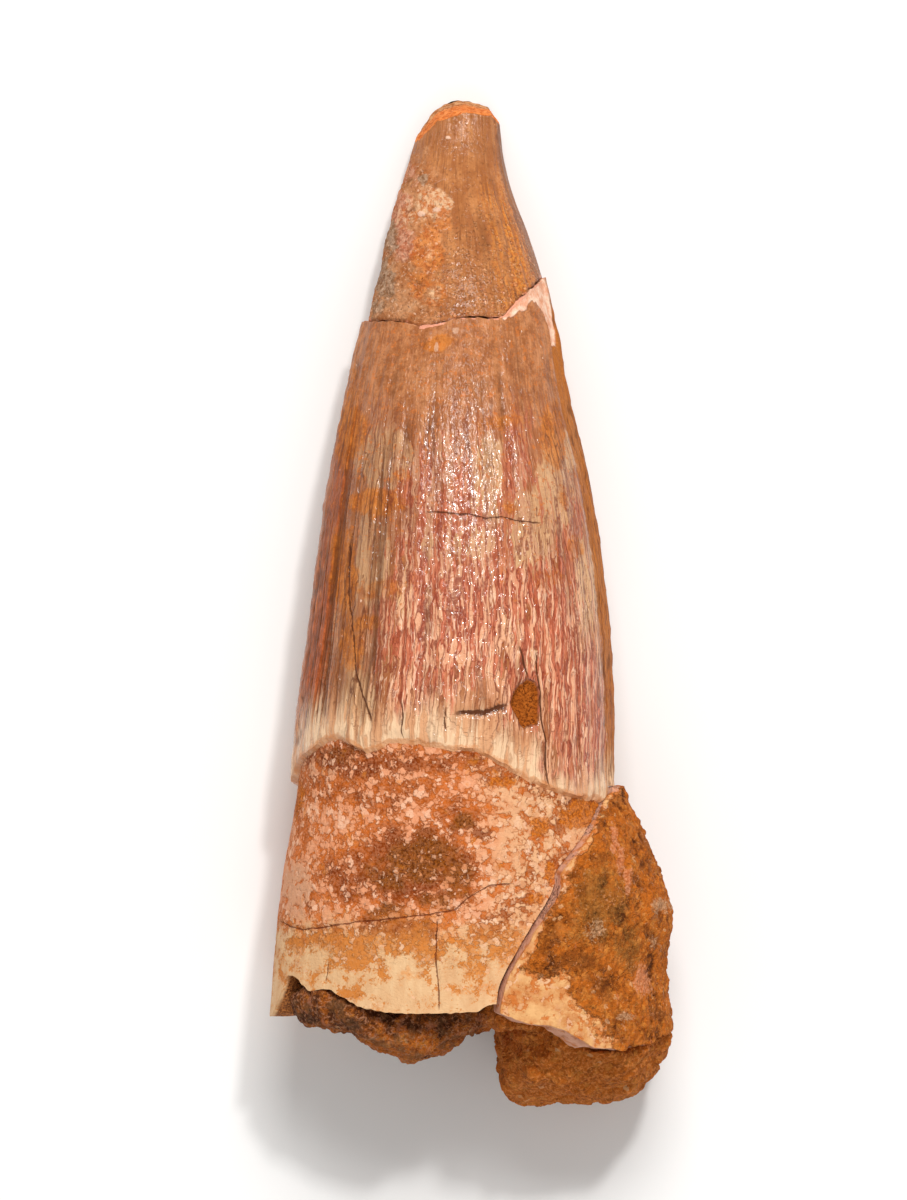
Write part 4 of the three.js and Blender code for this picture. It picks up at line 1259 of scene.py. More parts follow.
# %% Fine streaks
fine_streaks, r, takes, gives = shared_group(
    "fine streaks",
    [("Flow", "Vector", None), ("Width", "Float", 0.3), ("Length", "Float", 5.0), ("Share", "Float", 0.5),
     ("Soft", "Float", 0.06), ("Line", "Float", 0.02), ("Detail", "Float", 2.0)],
    [("Streak", "Float"), ("Tone", "Float"), ("Lines", "Float")],
)
parts = r.step_on("ShaderNodeSeparateXYZ", takes["Flow"]).outputs
squeezed = r.step("ShaderNodeCombineXYZ")
r.feed(squeezed.inputs[0], parts[0])
r.feed(squeezed.inputs[1], parts[1])
r.feed(squeezed.inputs[2], r.times(parts[2], r.math("DIVIDE", takes["Width"], takes["Length"])))
tone = r.noise(squeezed.outputs[0], takes["Width"], takes["Detail"], 0.6)
level = r.slope(takes["Share"], 0.0, 1.0, 0.72, 0.28)
streak = r.slope(tone, r.math("SUBTRACT", level, takes["Soft"]), r.plus(level, takes["Soft"]))
r.feed(gives["Streak"], streak)
r.feed(gives["Tone"], tone)
from_middle = r.math("ABSOLUTE", r.centred(tone))
r.feed(gives["Lines"], r.slope(from_middle, r.times(takes["Line"], 0.3), takes["Line"], 1.0, 0.0))

# %% Iron-stained sand
RUST_ORANGE = colour(202, 107, 28)
RUST_BROWN = colour(156, 80, 16)
RUST_GOLD = colour(226, 144, 62)
RUST_DARK = colour(84, 38, 4)
PALE_GRAIN = colour(228, 172, 120)

stained_sand, r, takes, gives = shared_group(
    "iron-stained sand",
    [
        ("Place", "Vector", None), ("Grain", "Float", 0.35), ("Dark", "Float", 0.2),
        ("Pale grains", "Float", 0.06),
    ],
    [("Colour", "Color"), ("Height", "Float")],
)
near = r.cells(r.bent(takes["Place"], 0.3, 0.5), takes["Grain"])
own = r.step_on("ShaderNodeSeparateColor", near.outputs["Color"]).outputs
broad = r.noise(takes["Place"], 2.2, 5.0, 0.68)
fine = r.noise(takes["Place"], r.times(takes["Grain"], 0.7), 3.0, 0.75)
wandering_tone = r.total((0.8, broad), (0.5, fine), (-1.0, r.math("SUBTRACT", takes["Dark"], 0.2)))
tint = r.mix(r.slope(wandering_tone, 0.44, 0.6), RUST_DARK, RUST_BROWN)
tint = r.mix(r.slope(wandering_tone, 0.56, 0.74), tint, RUST_ORANGE)
tint = r.mix(r.times(r.slope(own[0], 0.6, 1.0), r.slope(wandering_tone, 0.46, 0.7), 0.6), tint, RUST_GOLD)
tint = r.mix(r.slope(own[1], 0.7, 1.0, 0.0, 0.35), tint, RUST_DARK)
tint = r.mix(r.slope(fine, 0.58, 0.72, 0.0, 0.55), tint, RUST_GOLD)
# painted shade: the sand darkens in the gaps between its grains
between = r.slope(near.outputs["Distance"], 0.42, 0.75)
tint = r.mix(r.times(between, 0.2), tint, RUST_DARK)
pale = r.math("LESS_THAN", own[2], takes["Pale grains"])
tint = r.mix(r.times(pale, r.rest_of(between), 0.7), tint, PALE_GRAIN)
r.feed(gives["Colour"], tint)
clods = r.noise(takes["Place"], r.times(takes["Grain"], 2.6), 4.0, 0.75)
r.feed(
    gives["Height"],
    r.total((0.35, r.slope(near.outputs["Distance"], 0.75, 0.05)), (0.9, fine), (2.0, clods)),
)

# %% Hairline crack
hairline_crack, r, takes, gives = shared_group(
    "hairline crack", [("Crack", "Vector", None), ("Wider", "Float", 1.0), ("Place", "Vector", None)],
    [("Crack", "Float")],
)
parts = r.step_on("ShaderNodeSeparateXYZ", takes["Crack"]).outputs
uneven = r.noise(takes["Place"], 0.5, 3.0, 0.6)
wide = r.times(takes["Wider"], parts[2], r.slope(uneven, 0.3, 0.7, 0.3, 1.2))
offset = r.plus(parts[0], r.times(r.centred(uneven), 0.16))
line = r.slope(r.math("ABSOLUTE", offset), r.times(wide, 0.4), wide, 1.0, 0.0)
r.feed(gives["Crack"], r.times(line, r.slope(parts[1], 0.0, 0.8)))
print("shared groups:", len(bpy.data.node_groups))

# %% [markdown]
# ## Enamel
# Fossil enamel is cream and has taken up iron. In the middle of the crown thin rose-red streaks run up it,
# with pale cells and lighter flecks between them. A thin brown glaze lies over the upper crown, and near
# the break a tan stain hides the streaks. The left side is olive-brown with furrows, and painted shade
# darkens them and the other low places of the crown. Orange washes lie here and there, and a few grains still
# stick on. At the base the cream comes through clean. The streaks are noise stretched along the crown, so
# they go all the way round it, and the kept drum place makes them run together towards the tip. Enamel keeps
# its gloss, so it gets a thin coat over fine wrinkles, thickest in the glossy place, where bright flecks are
# also painted in as glints.

# %% The enamel's colours
# a name ending in TINTS holds a first and a second colour
GROUND_TINTS = (166, 96, 52), (208, 142, 98)
CREAM_TINTS = (206, 148, 98), (242, 198, 150)
ROSE_TINTS = (164, 68, 40), (218, 122, 88)
DEEP_ROSE_TINT = colour(146, 76, 56)
PALE_CELL_TINTS = (218, 142, 100), (252, 200, 160)
HIGH_CELL_TINTS = (170, 112, 80), (228, 172, 136)
FLECK_TINTS = (254, 206, 172), (234, 182, 150)
OLIVE_TINT = colour(136, 82, 44)
REDDISH_TINTS = (142, 62, 20), (196, 98, 52)
GLAZE_TINT = colour(142, 78, 40)
TAN_TINTS = (150, 86, 42), (196, 128, 80)
ORANGE_WASH_TINTS = (158, 80, 18), (214, 126, 44)
ORANGE_GRAIN_TINT = colour(204, 112, 44)
PAINTED_GLINT_TINT = colour(244, 206, 172)
GREY_SPOT_TINT = colour(148, 112, 82)
WHITE_SPOT_TINT = colour(246, 208, 180)
STRAY_GRAIN_TINTS = (196, 140, 104), (236, 196, 168)
RIGHT_SAND_TINTS = (142, 70, 14), (216, 132, 54)
BASE_CREAM_TINTS = (226, 168, 122), (248, 210, 168)
DARK_LINE_TINTS = (104, 54, 24), (132, 50, 28)
FURROW_PAINTED_SHADE_TINT = colour(96, 50, 20)
CROSSING_TINT = colour(130, 62, 30)
CRACK_TINT = colour(84, 42, 22)
PIT_SAND_TINTS = (104, 46, 6), (196, 106, 34)
PIT_RUST_TINT = colour(150, 74, 14)
BARED_TINTS = (226, 156, 120), (248, 214, 188)
LEDGE_FACE_TINTS = (146, 84, 44), (220, 156, 112)
EDGE_RUST_TINTS = (168, 88, 28), (236, 158, 96)
GLUE_TINT = colour(236, 160, 130)

# %% The enamel's streaks
enamel, r, shader = finish_called("streaked enamel")
place = r.read("place", vector=True)
flow_at = r.read("flow", vector=True)
drum = r.step_on("ShaderNodeSeparateXYZ", flow_at).outputs
along = drum[2]
leftward = r.times(drum[0], -1 / DRUM_RADIUS)
fleck = r.noise(place, 0.2, 3.0, 0.7)

wavy = r.bent(r.stretch(flow_at, 1.0, 1.0, 0.5), 1.0, 0.8)
cells = r.group(fine_streaks, Flow=wavy, Width=0.72, Length=5.0, Share=0.5, Soft=0.05, Line=0.018, Detail=1.3)
strands = r.group(
    fine_streaks, Flow=wavy, Width=0.36, Length=2.6, Share=0.5, Soft=0.05, Line=0.03, Detail=1.2
)
long_lines = r.group(fine_streaks, Flow=wavy, Width=0.8, Length=12.0, Line=0.034, Detail=0.3)["Lines"]
short_lines = r.group(
    fine_streaks, Flow=r.stretch(wavy, 1.3, 1.3, 1.0), Width=0.7, Length=5.0, Line=0.03, Detail=0.6
)["Lines"]
thin = r.group(fine_streaks, Flow=wavy, Width=0.17, Length=1.0, Share=0.5, Soft=0.16)
patches = r.noise(r.stretch(flow_at, 1.0, 1.0, 0.4), 1.6, 3.0, 0.6)
unevenness = r.total(
    (1.0, r.centred(cells["Tone"])), (0.9, r.centred(patches)), (0.35, r.centred(thin["Tone"])),
)
print("sizes of streak:", sum(node.type == "GROUP" for node in enamel.node_tree.nodes))

# %% Cream and rose
rose_mask = r.read("rose")
tint = r.tones(r.slope(patches, 0.35, 0.65), *GROUND_TINTS)
cream_level = r.total((1.0, r.read("cream")), (1.6, unevenness))
tint = r.mix(r.slope(cream_level, 0.1, 0.4), tint, r.tones(fleck, *CREAM_TINTS))
rose_level = r.total((1.0, rose_mask), (-0.5, r.read("cream")), (2.4, unevenness))
rose_tint = r.tones(thin["Streak"], *ROSE_TINTS)
rose_tint = r.mix(r.slope(patches, 0.6, 0.72, 0.0, 0.4), rose_tint, DEEP_ROSE_TINT)
tint = r.mix(r.slope(rose_level, 0.5, 0.62, 0.0, 0.9), tint, rose_tint)

# %% Pale cells and flecks
high_up = r.slope(along, -3.0, 8.0, 0.1, 0.85)
pale_tone = r.total((1.0, cells["Tone"], high_up), (1.0, strands["Tone"], r.rest_of(high_up)))
pale_tone = r.plus(pale_tone, r.slope(along, -2.0, 7.0, 0.0, 0.015))
pale_cells = r.times(r.slope(pale_tone, 0.5, 0.44), r.slope(rose_mask, 0.1, 0.5))
pale_cells = r.times(pale_cells, r.slope(thin["Tone"], 0.6, 0.5, 0.4, 0.85))
pale_tint = r.tones(fleck, *PALE_CELL_TINTS)
pale_tint = r.mix(r.slope(along, -2.0, 8.0, 0.0, 0.85), pale_tint, r.tones(fleck, *HIGH_CELL_TINTS))
tint = r.mix(pale_cells, tint, pale_tint)
flecks = r.group(fine_streaks, Flow=wavy, Width=0.22, Length=1.2, Share=0.32, Soft=0.05)
flecks_here = r.times(flecks["Streak"], r.slope(rose_mask, 0.0, 0.7, 0.1, 0.75))
tint = r.mix(flecks_here, tint, r.tones(r.slope(along, -2.0, 8.0), *FLECK_TINTS))

# %% The olive left side
grain_lines = r.group(fine_streaks, Flow=flow_at, Width=0.34, Length=10.0, Share=0.5, Soft=0.1)["Streak"]
olive_here = r.times(r.read("left_side"), r.slope(grain_lines, 0.0, 1.0, 0.3, 0.7))
tint = r.mix(olive_here, tint, OLIVE_TINT)
far_left = r.times(
    r.slope(r.total((1.0, leftward), (0.3, r.centred(fleck))), 0.8, 0.9), r.read("on_top"),
    r.slope(along, -9.5, -6.0), r.slope(along, 20.0, 14.0),
)
tan_noise = r.noise(r.stretch(place, 1.0, 0.7, 1.0), 0.8, 4.0, 0.7)
reddish = r.tones(r.slope(tan_noise, 0.38, 0.62), *REDDISH_TINTS)
tint = r.mix(r.times(far_left, 0.9), tint, reddish)

# %% Glaze, tan stain and orange washes
glazed = r.times(
    r.slope(along, 0.0, 6.0), r.slope(along, 19.0, 14.0), r.slope(tan_noise, 0.3, 0.6, 0.14, 0.36)
)
tint = r.mix(glazed, tint, GLAZE_TINT)
tan_tone = r.total((0.7, tan_noise), (0.35, fleck), (0.1, patches), (0.15, r.centred(cells["Tone"])))
tan = r.tones(r.slope(tan_tone, 0.46, 0.7), *TAN_TINTS)
tan_level = r.total(
    (1.0, r.read("tan")), (1.6, r.centred(cells["Tone"])), (1.0, r.centred(strands["Tone"])),
)
tint = r.mix(r.slope(tan_level, 0.1, 0.9, 0.0, 0.92), tint, tan)
wash_here = patch_of(r, r.read("wash"), place, grain=0.9, ragged=0.55, level=0.52, soft=0.22)
tint = r.mix(r.times(wash_here, 0.72), tint, r.tones(r.slope(tan_tone, 0.45, 0.7), *ORANGE_WASH_TINTS))
orange_grains = patch_of(
    r, r.slope(along, -8.0, 14.0, 0.0, 0.16), place, grain=0.45, ragged=1.0, level=0.34, soft=0.06
)
tint = r.mix(r.times(orange_grains, 0.7), tint, ORANGE_GRAIN_TINT)

# %% Painted glints, grey and white spots, stray grains and the sandy right edge
# painted highlight: bright flecks in the glossy place stand in for the lamp's glints
bright = r.group(fine_streaks, Flow=wavy, Width=0.19, Length=0.55, Share=0.3, Soft=0.04)["Streak"]
tint = r.mix(r.times(bright, r.read("glossy"), 0.4), tint, PAINTED_GLINT_TINT)
grey = r.slope(r.noise(place, 0.8, 3.0, 0.6), 0.68, 0.72)
tint = r.mix(r.times(grey, 0.5), tint, GREY_SPOT_TINT)
white = r.slope(r.noise(r.stretch(place, 1.0, 0.7, 1.0), 0.42, 2.0), 0.74, 0.77)
tint = r.mix(r.times(white, 0.7), tint, WHITE_SPOT_TINT)
tint = r.mix(r.slope(r.read("stray"), 0.3, 0.7, 0.0, 0.7), tint, r.tones(fleck, *STRAY_GRAIN_TINTS))
right_zone = r.slope(r.total((1.0, leftward), (-0.0012, along)), -0.91, -0.975)
right_sand = patch_of(r, right_zone, place, grain=0.8, ragged=0.5, level=0.62, soft=0.15)
tint = r.mix(r.times(right_sand, 0.85), tint, r.tones(fleck, *RIGHT_SAND_TINTS))

# %% The clean base and the dark lines
above_edge = r.read("above")
clean_base = r.times(
    r.slope(r.plus(above_edge, r.times(grain_lines, 1.5)), 5.5, 1.5), r.slope(rose_mask, 0.75, 0.2)
)
base_cream = r.tones(cells["Streak"], *BASE_CREAM_TINTS)
tint = r.mix(r.times(clean_base, 0.85), tint, base_cream)
dark_lines = r.most(
    r.times(long_lines, 0.85), r.times(short_lines, r.slope(rose_mask, 0.0, 0.6, 0.35, 0.75)),
    r.times(cells["Lines"], 0.6), r.times(strands["Lines"], r.slope(rose_mask, 0.2, 0.7, 0.1, 0.8)),
)
dark_lines = r.times(
    dark_lines, r.slope(along, 20.0, 12.0, 0.25, 1.0), r.slope(fleck, 0.35, 0.55, 0.5, 1.0),
    r.slope(clean_base, 0.0, 1.0, 1.0, 0.5),
)
tint = r.mix(dark_lines, tint, r.tones(rose_mask, *DARK_LINE_TINTS))
# painted shade: darker in the low places of the relief, in furrows, grooves and cracks
hollow = r.times(r.slope(r.read("relief"), -0.03, -0.12), r.slope(above_edge, 0.9, 2.0))
tint = r.mix(r.times(hollow, 0.65), tint, FURROW_PAINTED_SHADE_TINT)
across = r.noise(r.stretch(place, 0.6, 2.4, 1.0), 0.9, 3.0, 0.5)
crossing = r.slope(r.math("ABSOLUTE", r.centred(across)), 0.004, 0.014, 1.0, 0.0)
crossing = r.times(crossing, r.slope(r.noise(place, 1.6, 2.0), 0.48, 0.6))
tint = r.mix(r.times(crossing, 0.5), tint, CROSSING_TINT)

# %% The enamel's cracks, pit and bare place
cracks = r.group(hairline_crack, Crack=r.read("crack", vector=True), Wider=1.0, Place=place)["Crack"]
tint = r.mix(r.times(cracks, 0.85), tint, CRACK_TINT)
pit_here = r.slope(r.read("pit"), 0.15, 0.6)
pit_sand = r.tones(r.slope(fleck, 0.35, 0.62), *PIT_SAND_TINTS)
tint = r.mix(pit_here, tint, r.mix(r.slope(tan_noise, 0.4, 0.6, 0.0, 0.5), pit_sand, PIT_RUST_TINT))
bare_here = r.slope(r.read("bared"), 0.2, 0.7)
tint = r.mix(bare_here, tint, r.tones(r.slope(tan_noise, 0.35, 0.65), *BARED_TINTS))
inner = r.slope(r.read("deep"), 0.1, 0.35)
inner_tint = r.tones(r.slope(tan_noise, 0.4, 0.6), *LEDGE_FACE_TINTS)
tint = r.mix(inner, tint, inner_tint)
edge_stain = patch_of(r, r.slope(above_edge, 1.0, 0.0), place, grain=0.8, ragged=0.8, level=0.72, soft=0.16)
tint = r.mix(r.times(edge_stain, 0.6), tint, r.tones(fleck, *EDGE_RUST_TINTS))
under_break = r.slope(r.read("under_break"), 0.45, 0.1)
pasted = r.times(under_break, r.slope(r.step_on("ShaderNodeSeparateXYZ", place).outputs[0], -5.0, -3.6))
glue = patch_of(r, pasted, r.stretch(place, 0.5, 1.0, 0.5), grain=1.2, ragged=0.9, level=0.95, soft=0.06)
tint = r.mix(r.times(glue, 0.85), tint, GLUE_TINT)
r.feed(shader["Base Color"], tint)

# %% The enamel's gloss and wrinkles
dull = r.most(
    pit_here, bare_here, inner, r.times(cracks, 0.8), r.times(wash_here, 0.5), r.times(right_sand, 0.8)
)
wrinkles = r.noise(r.stretch(place, 1.0, 0.45, 1.0), 0.29, 1.0, 0.5, 0.4)
shine = r.slope(along, 21.0, 13.0, 0.3, 1.0)
bumps = r.bump(
    (0.05, thin["Tone"]), (0.08, wrinkles), (0.05, tan_noise), (-0.06, cracks),
    (0.2, fleck, r.plus(pit_here, 0.2)),
)
r.feed(shader["Normal"], bumps)
r.feed(shader["Coat Normal"], r.bump((0.13, wrinkles)))
r.feed(shader["Roughness"], r.slope(r.total((1.0, dull), (0.6, r.centred(tan_noise))), 0.0, 1.0, 0.42, 0.85))
gloss = r.slope(r.read("glossy"), 0.1, 0.8, 0.5, 0.66)
r.feed(shader["Coat Weight"], r.times(r.rest_of(dull), r.rest_of(far_left), shine, gloss))
evenly(shader, Coat_Roughness=0.08, Specular_IOR_Level=0.12)
print("enamel nodes:", len(enamel.node_tree.nodes))

# %% [markdown]
# ## Root dentine
# Dentine is the bone-like body of the tooth. It is dull and cream. On the root worm-like islands of it
# stand up pink-cream out of orange rust, with a few golden stains. The rust is densest under the ledge and
# in a dark patch in the middle. Below the long crack the bone is nearly clean, with thin clouds of rust.
# The kept islands drive the colour, so a raised island is also a pale one.

# %% The dentine's colours
# a name ending in TINTS holds a first and a second colour
CREAM_BONE_TINTS = (202, 142, 92), (242, 206, 158)
PINK_BONE_TINTS = (212, 124, 78), (250, 186, 144)
DARKENED_BONE_TINT = colour(176, 104, 46)
GREY_SKIN_TINT = colour(206, 152, 116)
RUST_TINTS = (204, 104, 34), (126, 50, 4)
DARK_RUST_TINTS = (76, 34, 2), (150, 82, 18)
LOW_RUST_TINT = colour(208, 126, 56)
CLOUD_TINTS = (186, 98, 32), (222, 142, 70)
PALE_CHIP_TINT = colour(246, 194, 164)
GOLDEN_TINT = colour(224, 132, 40)
GOLD_STAIN_TINTS = (160, 78, 8), (216, 120, 32)
ROOT_CRACK_TINT = colour(122, 50, 22)
BROKEN_FACE_TINTS = (178, 92, 54), (234, 170, 130)
FACE_SAND_TINTS = (112, 58, 22), (206, 128, 66)

# %% The dentine's bone and rust
dentine, r, shader = finish_called("rusted dentine")
place = r.read("place", vector=True)
parts = r.step_on("ShaderNodeSeparateXYZ", place).outputs
along = parts[1]
rust_mask, dark_mask, grey_skin = r.read("rust"), r.read("dark"), r.read("grey")
clump = r.noise(place, 1.3, 5.0, 0.65)
fine = r.noise(place, 0.17, 3.0, 0.65)
upper = r.slope(r.total((1.0, along), (5.0, r.centred(clump))), -27.5, -24.0)

patches = r.noise(place, 3.0, 3.0, 0.55)
cream = r.tones(r.noise(r.stretch(place, 1.0, 0.35, 1.0), 0.9, 4.0, 0.6), *CREAM_BONE_TINTS)
pinkish = r.tones(clump, *PINK_BONE_TINTS)
rightness = r.slope(r.total((1.0, parts[0]), (5.0, r.centred(clump))), -1.0, 4.0, 1.0, 0.4)
bone = r.mix(r.times(upper, rightness), cream, pinkish)
darkened = r.slope(r.total((0.9, dark_mask), (1.7, r.centred(clump)), (0.6, r.centred(fine))), 0.15, 0.9)
bone = r.mix(r.times(darkened, 0.6), bone, DARKENED_BONE_TINT)
bone = r.mix(r.times(grey_skin, 0.7), bone, GREY_SKIN_TINT)
rust_tone = r.total((0.8, rust_mask), (1.6, r.centred(clump)))
rusty = r.tones(r.slope(rust_tone, 0.1, 0.9), *RUST_TINTS)
rusty = r.mix(r.times(darkened, 0.85), rusty, r.tones(r.slope(fine, 0.35, 0.65), *DARK_RUST_TINTS))
rusty = r.mix(upper, LOW_RUST_TINT, rusty)
clouds = r.slope(r.total((0.7, clump), (0.35, fine), (0.2, rust_mask), (0.02, along)), -0.08, 0.05)
clouds = r.times(clouds, r.slope(fine, 0.35, 0.6, 0.5, 1.0))
bone = r.mix(r.times(clouds, r.rest_of(upper), 0.9), bone, r.tones(r.slope(fine, 0.4, 0.6), *CLOUD_TINTS))

# %% Where the rust lies
BASE_STAIN = 0.03
stain = r.total(
    (0.3, rust_mask), (0.06, dark_mask), (1.0, r.centred(clump)), (0.7, r.centred(patches)),
    (-0.25, grey_skin), (-0.12, r.centred(r.read("islands"))), (0.38, upper), (1.0, BASE_STAIN),
    (-0.22, r.rest_of(rightness)), (0.4, clouds, r.rest_of(upper)), (0.05, r.rest_of(upper)),
)
speckled = r.group(speckled_bone, Place=place, Stain=stain, Grain=0.5, Bone=bone, Rust=rusty)
tint = speckled["Colour"]
pale_chips = r.slope(r.noise(r.stretch(place, 1.0, 0.75, 1.0), 0.5, 3.0, 0.6), 0.66, 0.7)
tint = r.mix(r.times(pale_chips, upper, 0.7), tint, PALE_CHIP_TINT)
golden = r.slope(r.noise(place, 1.5, 4.0, 0.6), 0.6, 0.72)
tint = r.mix(r.times(golden, 0.45), tint, GOLDEN_TINT)
gold_here = patch_of(r, r.read("gold"), place, grain=0.6, ragged=0.9, level=0.45, soft=0.2)
tint = r.mix(r.times(gold_here, 0.85), tint, r.tones(r.slope(fine, 0.38, 0.62), *GOLD_STAIN_TINTS))

# %% The dentine's cracks, broken faces and relief
cracks = r.group(hairline_crack, Crack=r.read("crack", vector=True), Wider=0.7, Place=place)["Crack"]
tint = r.mix(r.times(cracks, 0.75), tint, ROOT_CRACK_TINT)
inner = r.slope(r.read("deep"), 0.15, 0.5)
face_tint = r.tones(clump, *BROKEN_FACE_TINTS)
face_sand = r.slope(r.total((1.0, r.read("deep")), (1.8, r.centred(clump))), -0.05, 0.25)
face_tint = r.mix(face_sand, face_tint, r.tones(r.slope(fine, 0.35, 0.65), *FACE_SAND_TINTS))
tint = r.mix(inner, tint, face_tint)
r.feed(shader["Base Color"], tint)
gritty = r.slope(along, -30.0, -26.0, 0.3, 1.0)
r.feed(shader["Normal"], r.bump(
    (0.16, speckled["Height"], gritty), (0.06, fine), (-0.1, cracks), (0.2, fine, inner),
))
r.feed(shader["Roughness"], r.slope(stain, 0.0, 0.8, 0.55, 0.85))
evenly(shader, Specular_IOR_Level=0.12)
print("dentine nodes:", len(dentine.node_tree.nodes))

# %% The tooth, put together
# Faces above the ledge take the enamel and all others the dentine.
face_middles = np.empty(len(tooth_mesh.polygons) * 3, np.float32)
tooth_mesh.polygons.foreach_get("center", face_middles)
face_middles = face_middles.reshape(-1, 3).astype(float)
face_angle, _ = place_on(tooth_section, face_middles)
is_dentine = face_middles[:, 1] < ragged_enamel_edge(face_angle) - 0.5 * LEDGE
tooth_mesh.polygons.foreach_set("material_index", is_dentine.astype(np.int32))
make_piece("tooth", tooth_mesh, "tooth_body", (enamel, dentine))

# %% [markdown]
# ## Worn enamel of the tip
# The tip has lost its red. It is worn to a satin tan with soft darker lines and orange crumbs, golden in
# the grooves on its right; pale points on the crumbs are painted highlights, and painted shade darkens its
# low places. The left side still carries pink, cream and orange sand with grey crust. The chips at the end
# are orange where they are fresh, high up, and tan lower down. Along the mend some pinkish glue shows. It
# takes the same groups as the enamel, with other values.

# %% The tip's colours
# a name ending in TINTS holds a first and a second colour
TIP_TAN_TINTS = (162, 94, 42), (200, 130, 74)
TIP_STREAK_TINT = colour(152, 82, 36)
TIP_PALE_LINE_TINT = colour(220, 152, 96)
TIP_LINE_TINT = colour(112, 58, 22)
TIP_FLECK_TINT = colour(140, 78, 30)
TIP_GOLD_TINTS = (196, 100, 14), (226, 142, 52)
TIP_DARK_TINT = colour(108, 58, 20)
TIP_SPECK_TINT = colour(98, 52, 18)
TIP_CRUMB_AND_GLINT_TINTS = (192, 98, 36), (246, 178, 126)
TIP_CRUST_TINTS = (184, 108, 56), (222, 158, 110)
CRUST_RUST_TINT = colour(150, 74, 26)
CRUST_PALE_TINT = colour(254, 208, 174)
BLOB_TINT = colour(244, 200, 172)
CHIP_TINTS = (176, 104, 52), (218, 158, 108)
FRESH_CHIP_TINTS = (206, 98, 28), (242, 146, 76)
TIP_PAINTED_SHADE_TINT = colour(112, 60, 22)
TIP_GLUE_TINT = colour(232, 150, 118)
TIP_RIM_TINT = colour(110, 52, 20)

# %% The tip's tan and its lines
worn_enamel, r, shader = finish_called("worn enamel")
place = r.read("place", vector=True)
flow_at = r.read("flow", vector=True)
drum = r.step_on("ShaderNodeSeparateXYZ", flow_at).outputs
along = drum[2]
fleck = r.noise(place, 0.22, 4.0, 0.7)
soft_tone = r.noise(r.stretch(place, 1.0, 0.5, 1.0), 1.8, 4.0, 0.66)
tint = r.tones(r.slope(soft_tone, 0.34, 0.66), *TIP_TAN_TINTS)
lines = r.group(
    fine_streaks, Flow=flow_at, Width=1.1, Length=11.0, Share=0.42, Soft=0.12, Line=0.02, Detail=1.0
)
tint = r.mix(r.times(lines["Streak"], 0.42), tint, TIP_STREAK_TINT)
pale_lines = r.group(fine_streaks, Flow=flow_at, Width=0.3, Length=2.4, Share=0.34)["Streak"]
tint = r.mix(r.times(pale_lines, 0.2), tint, TIP_PALE_LINE_TINT)
tint = r.mix(r.times(lines["Lines"], 0.5), tint, TIP_LINE_TINT)
tint = r.mix(r.slope(fleck, 0.54, 0.34, 0.0, 0.35), tint, TIP_FLECK_TINT)
rightward = r.times(drum[0], 1 / DRUM_RADIUS)
golden = r.times(r.slope(rightward, 0.25, 0.65), r.slope(along, 37.0, 31.0))
gold_lines = r.group(
    fine_streaks, Flow=r.bent(flow_at, 1.5, 1.2), Width=0.9, Length=4.0, Share=0.5, Soft=0.1
)["Streak"]
tint = r.mix(r.times(golden, gold_lines, 0.75), tint, r.tones(r.slope(fleck, 0.4, 0.6), *TIP_GOLD_TINTS))
dark_right = patch_of(r, r.slope(rightward, 0.7, 1.0), place, grain=1.0, ragged=0.7, level=0.75, soft=0.12)
tint = r.mix(r.times(dark_right, 0.6), tint, TIP_DARK_TINT)
specks = r.slope(r.noise(place, 0.3, 2.0, 0.6), 0.66, 0.71)
tint = r.mix(r.times(specks, 0.5), tint, TIP_SPECK_TINT)
# orange crumbs, partly their own colour; their pale points are painted highlights, standing in for glints
crumbs = patch_of(
    r, r.slope(along, 35.0, 24.0, 0.0, 0.22), place, grain=0.34, ragged=1.0, level=0.3, soft=0.06
)
tint = r.mix(r.times(crumbs, 0.6), tint, r.tones(r.slope(fleck, 0.4, 0.6), *TIP_CRUMB_AND_GLINT_TINTS))

# %% The crust on the tip's left side
patch = patch_of(r, r.read("sandy"), place, grain=1.3, ragged=0.75, level=0.5, soft=0.25)
crusty = r.tones(r.slope(r.noise(place, 1.5, 5.0, 0.65), 0.36, 0.64), *TIP_CRUST_TINTS)
# each kept stain: its darker and its paler colour
TIP_STAINS = [
    ("pink", (190, 106, 76), (240, 172, 140)), ("orange", (200, 98, 30), (240, 146, 72)),
    ("grey", (140, 104, 72), (196, 164, 136)), ("cream", (216, 124, 66), (255, 212, 166)),
]
mottled = r.slope(r.noise(place, 0.5, 4.0, 0.7), 0.4, 0.6)
for stain_name, dark_tint, pale_tint in TIP_STAINS:
    stain_here = patch_of(r, r.read(stain_name), place, grain=0.8, ragged=1.0, level=0.5, soft=0.28)
    crusty = r.mix(r.times(stain_here, 0.8), crusty, r.tones(mottled, dark_tint, pale_tint))
crusty = r.mix(r.slope(r.noise(place, 0.45, 4.0, 0.7), 0.42, 0.32, 0.0, 0.8), crusty, CRUST_RUST_TINT)
crusty = r.mix(r.slope(r.noise(place, 0.3, 3.0, 0.7), 0.58, 0.66, 0.0, 0.7), crusty, CRUST_PALE_TINT)
tint = r.mix(r.times(patch, 0.9), tint, crusty)
tint = r.mix(r.slope(r.read("blobs"), 0.3, 0.7, 0.0, 0.8), tint, BLOB_TINT)

# %% The tip's chips and mend
chip = r.slope(r.total((1.0, r.read("chipped")), (0.9, r.centred(fleck))), 0.45, 0.62)
parts = r.step_on("ShaderNodeSeparateXYZ", place).outputs
chip_tint = r.tones(r.slope(mottled, 0.0, 1.0), *CHIP_TINTS)
fresh = r.slope(r.total((1.0, parts[2]), (3.0, r.centred(soft_tone))), 1.5, 2.7)
chip_tint = r.mix(fresh, chip_tint, r.tones(mottled, *FRESH_CHIP_TINTS))
tint = r.mix(chip, tint, chip_tint)
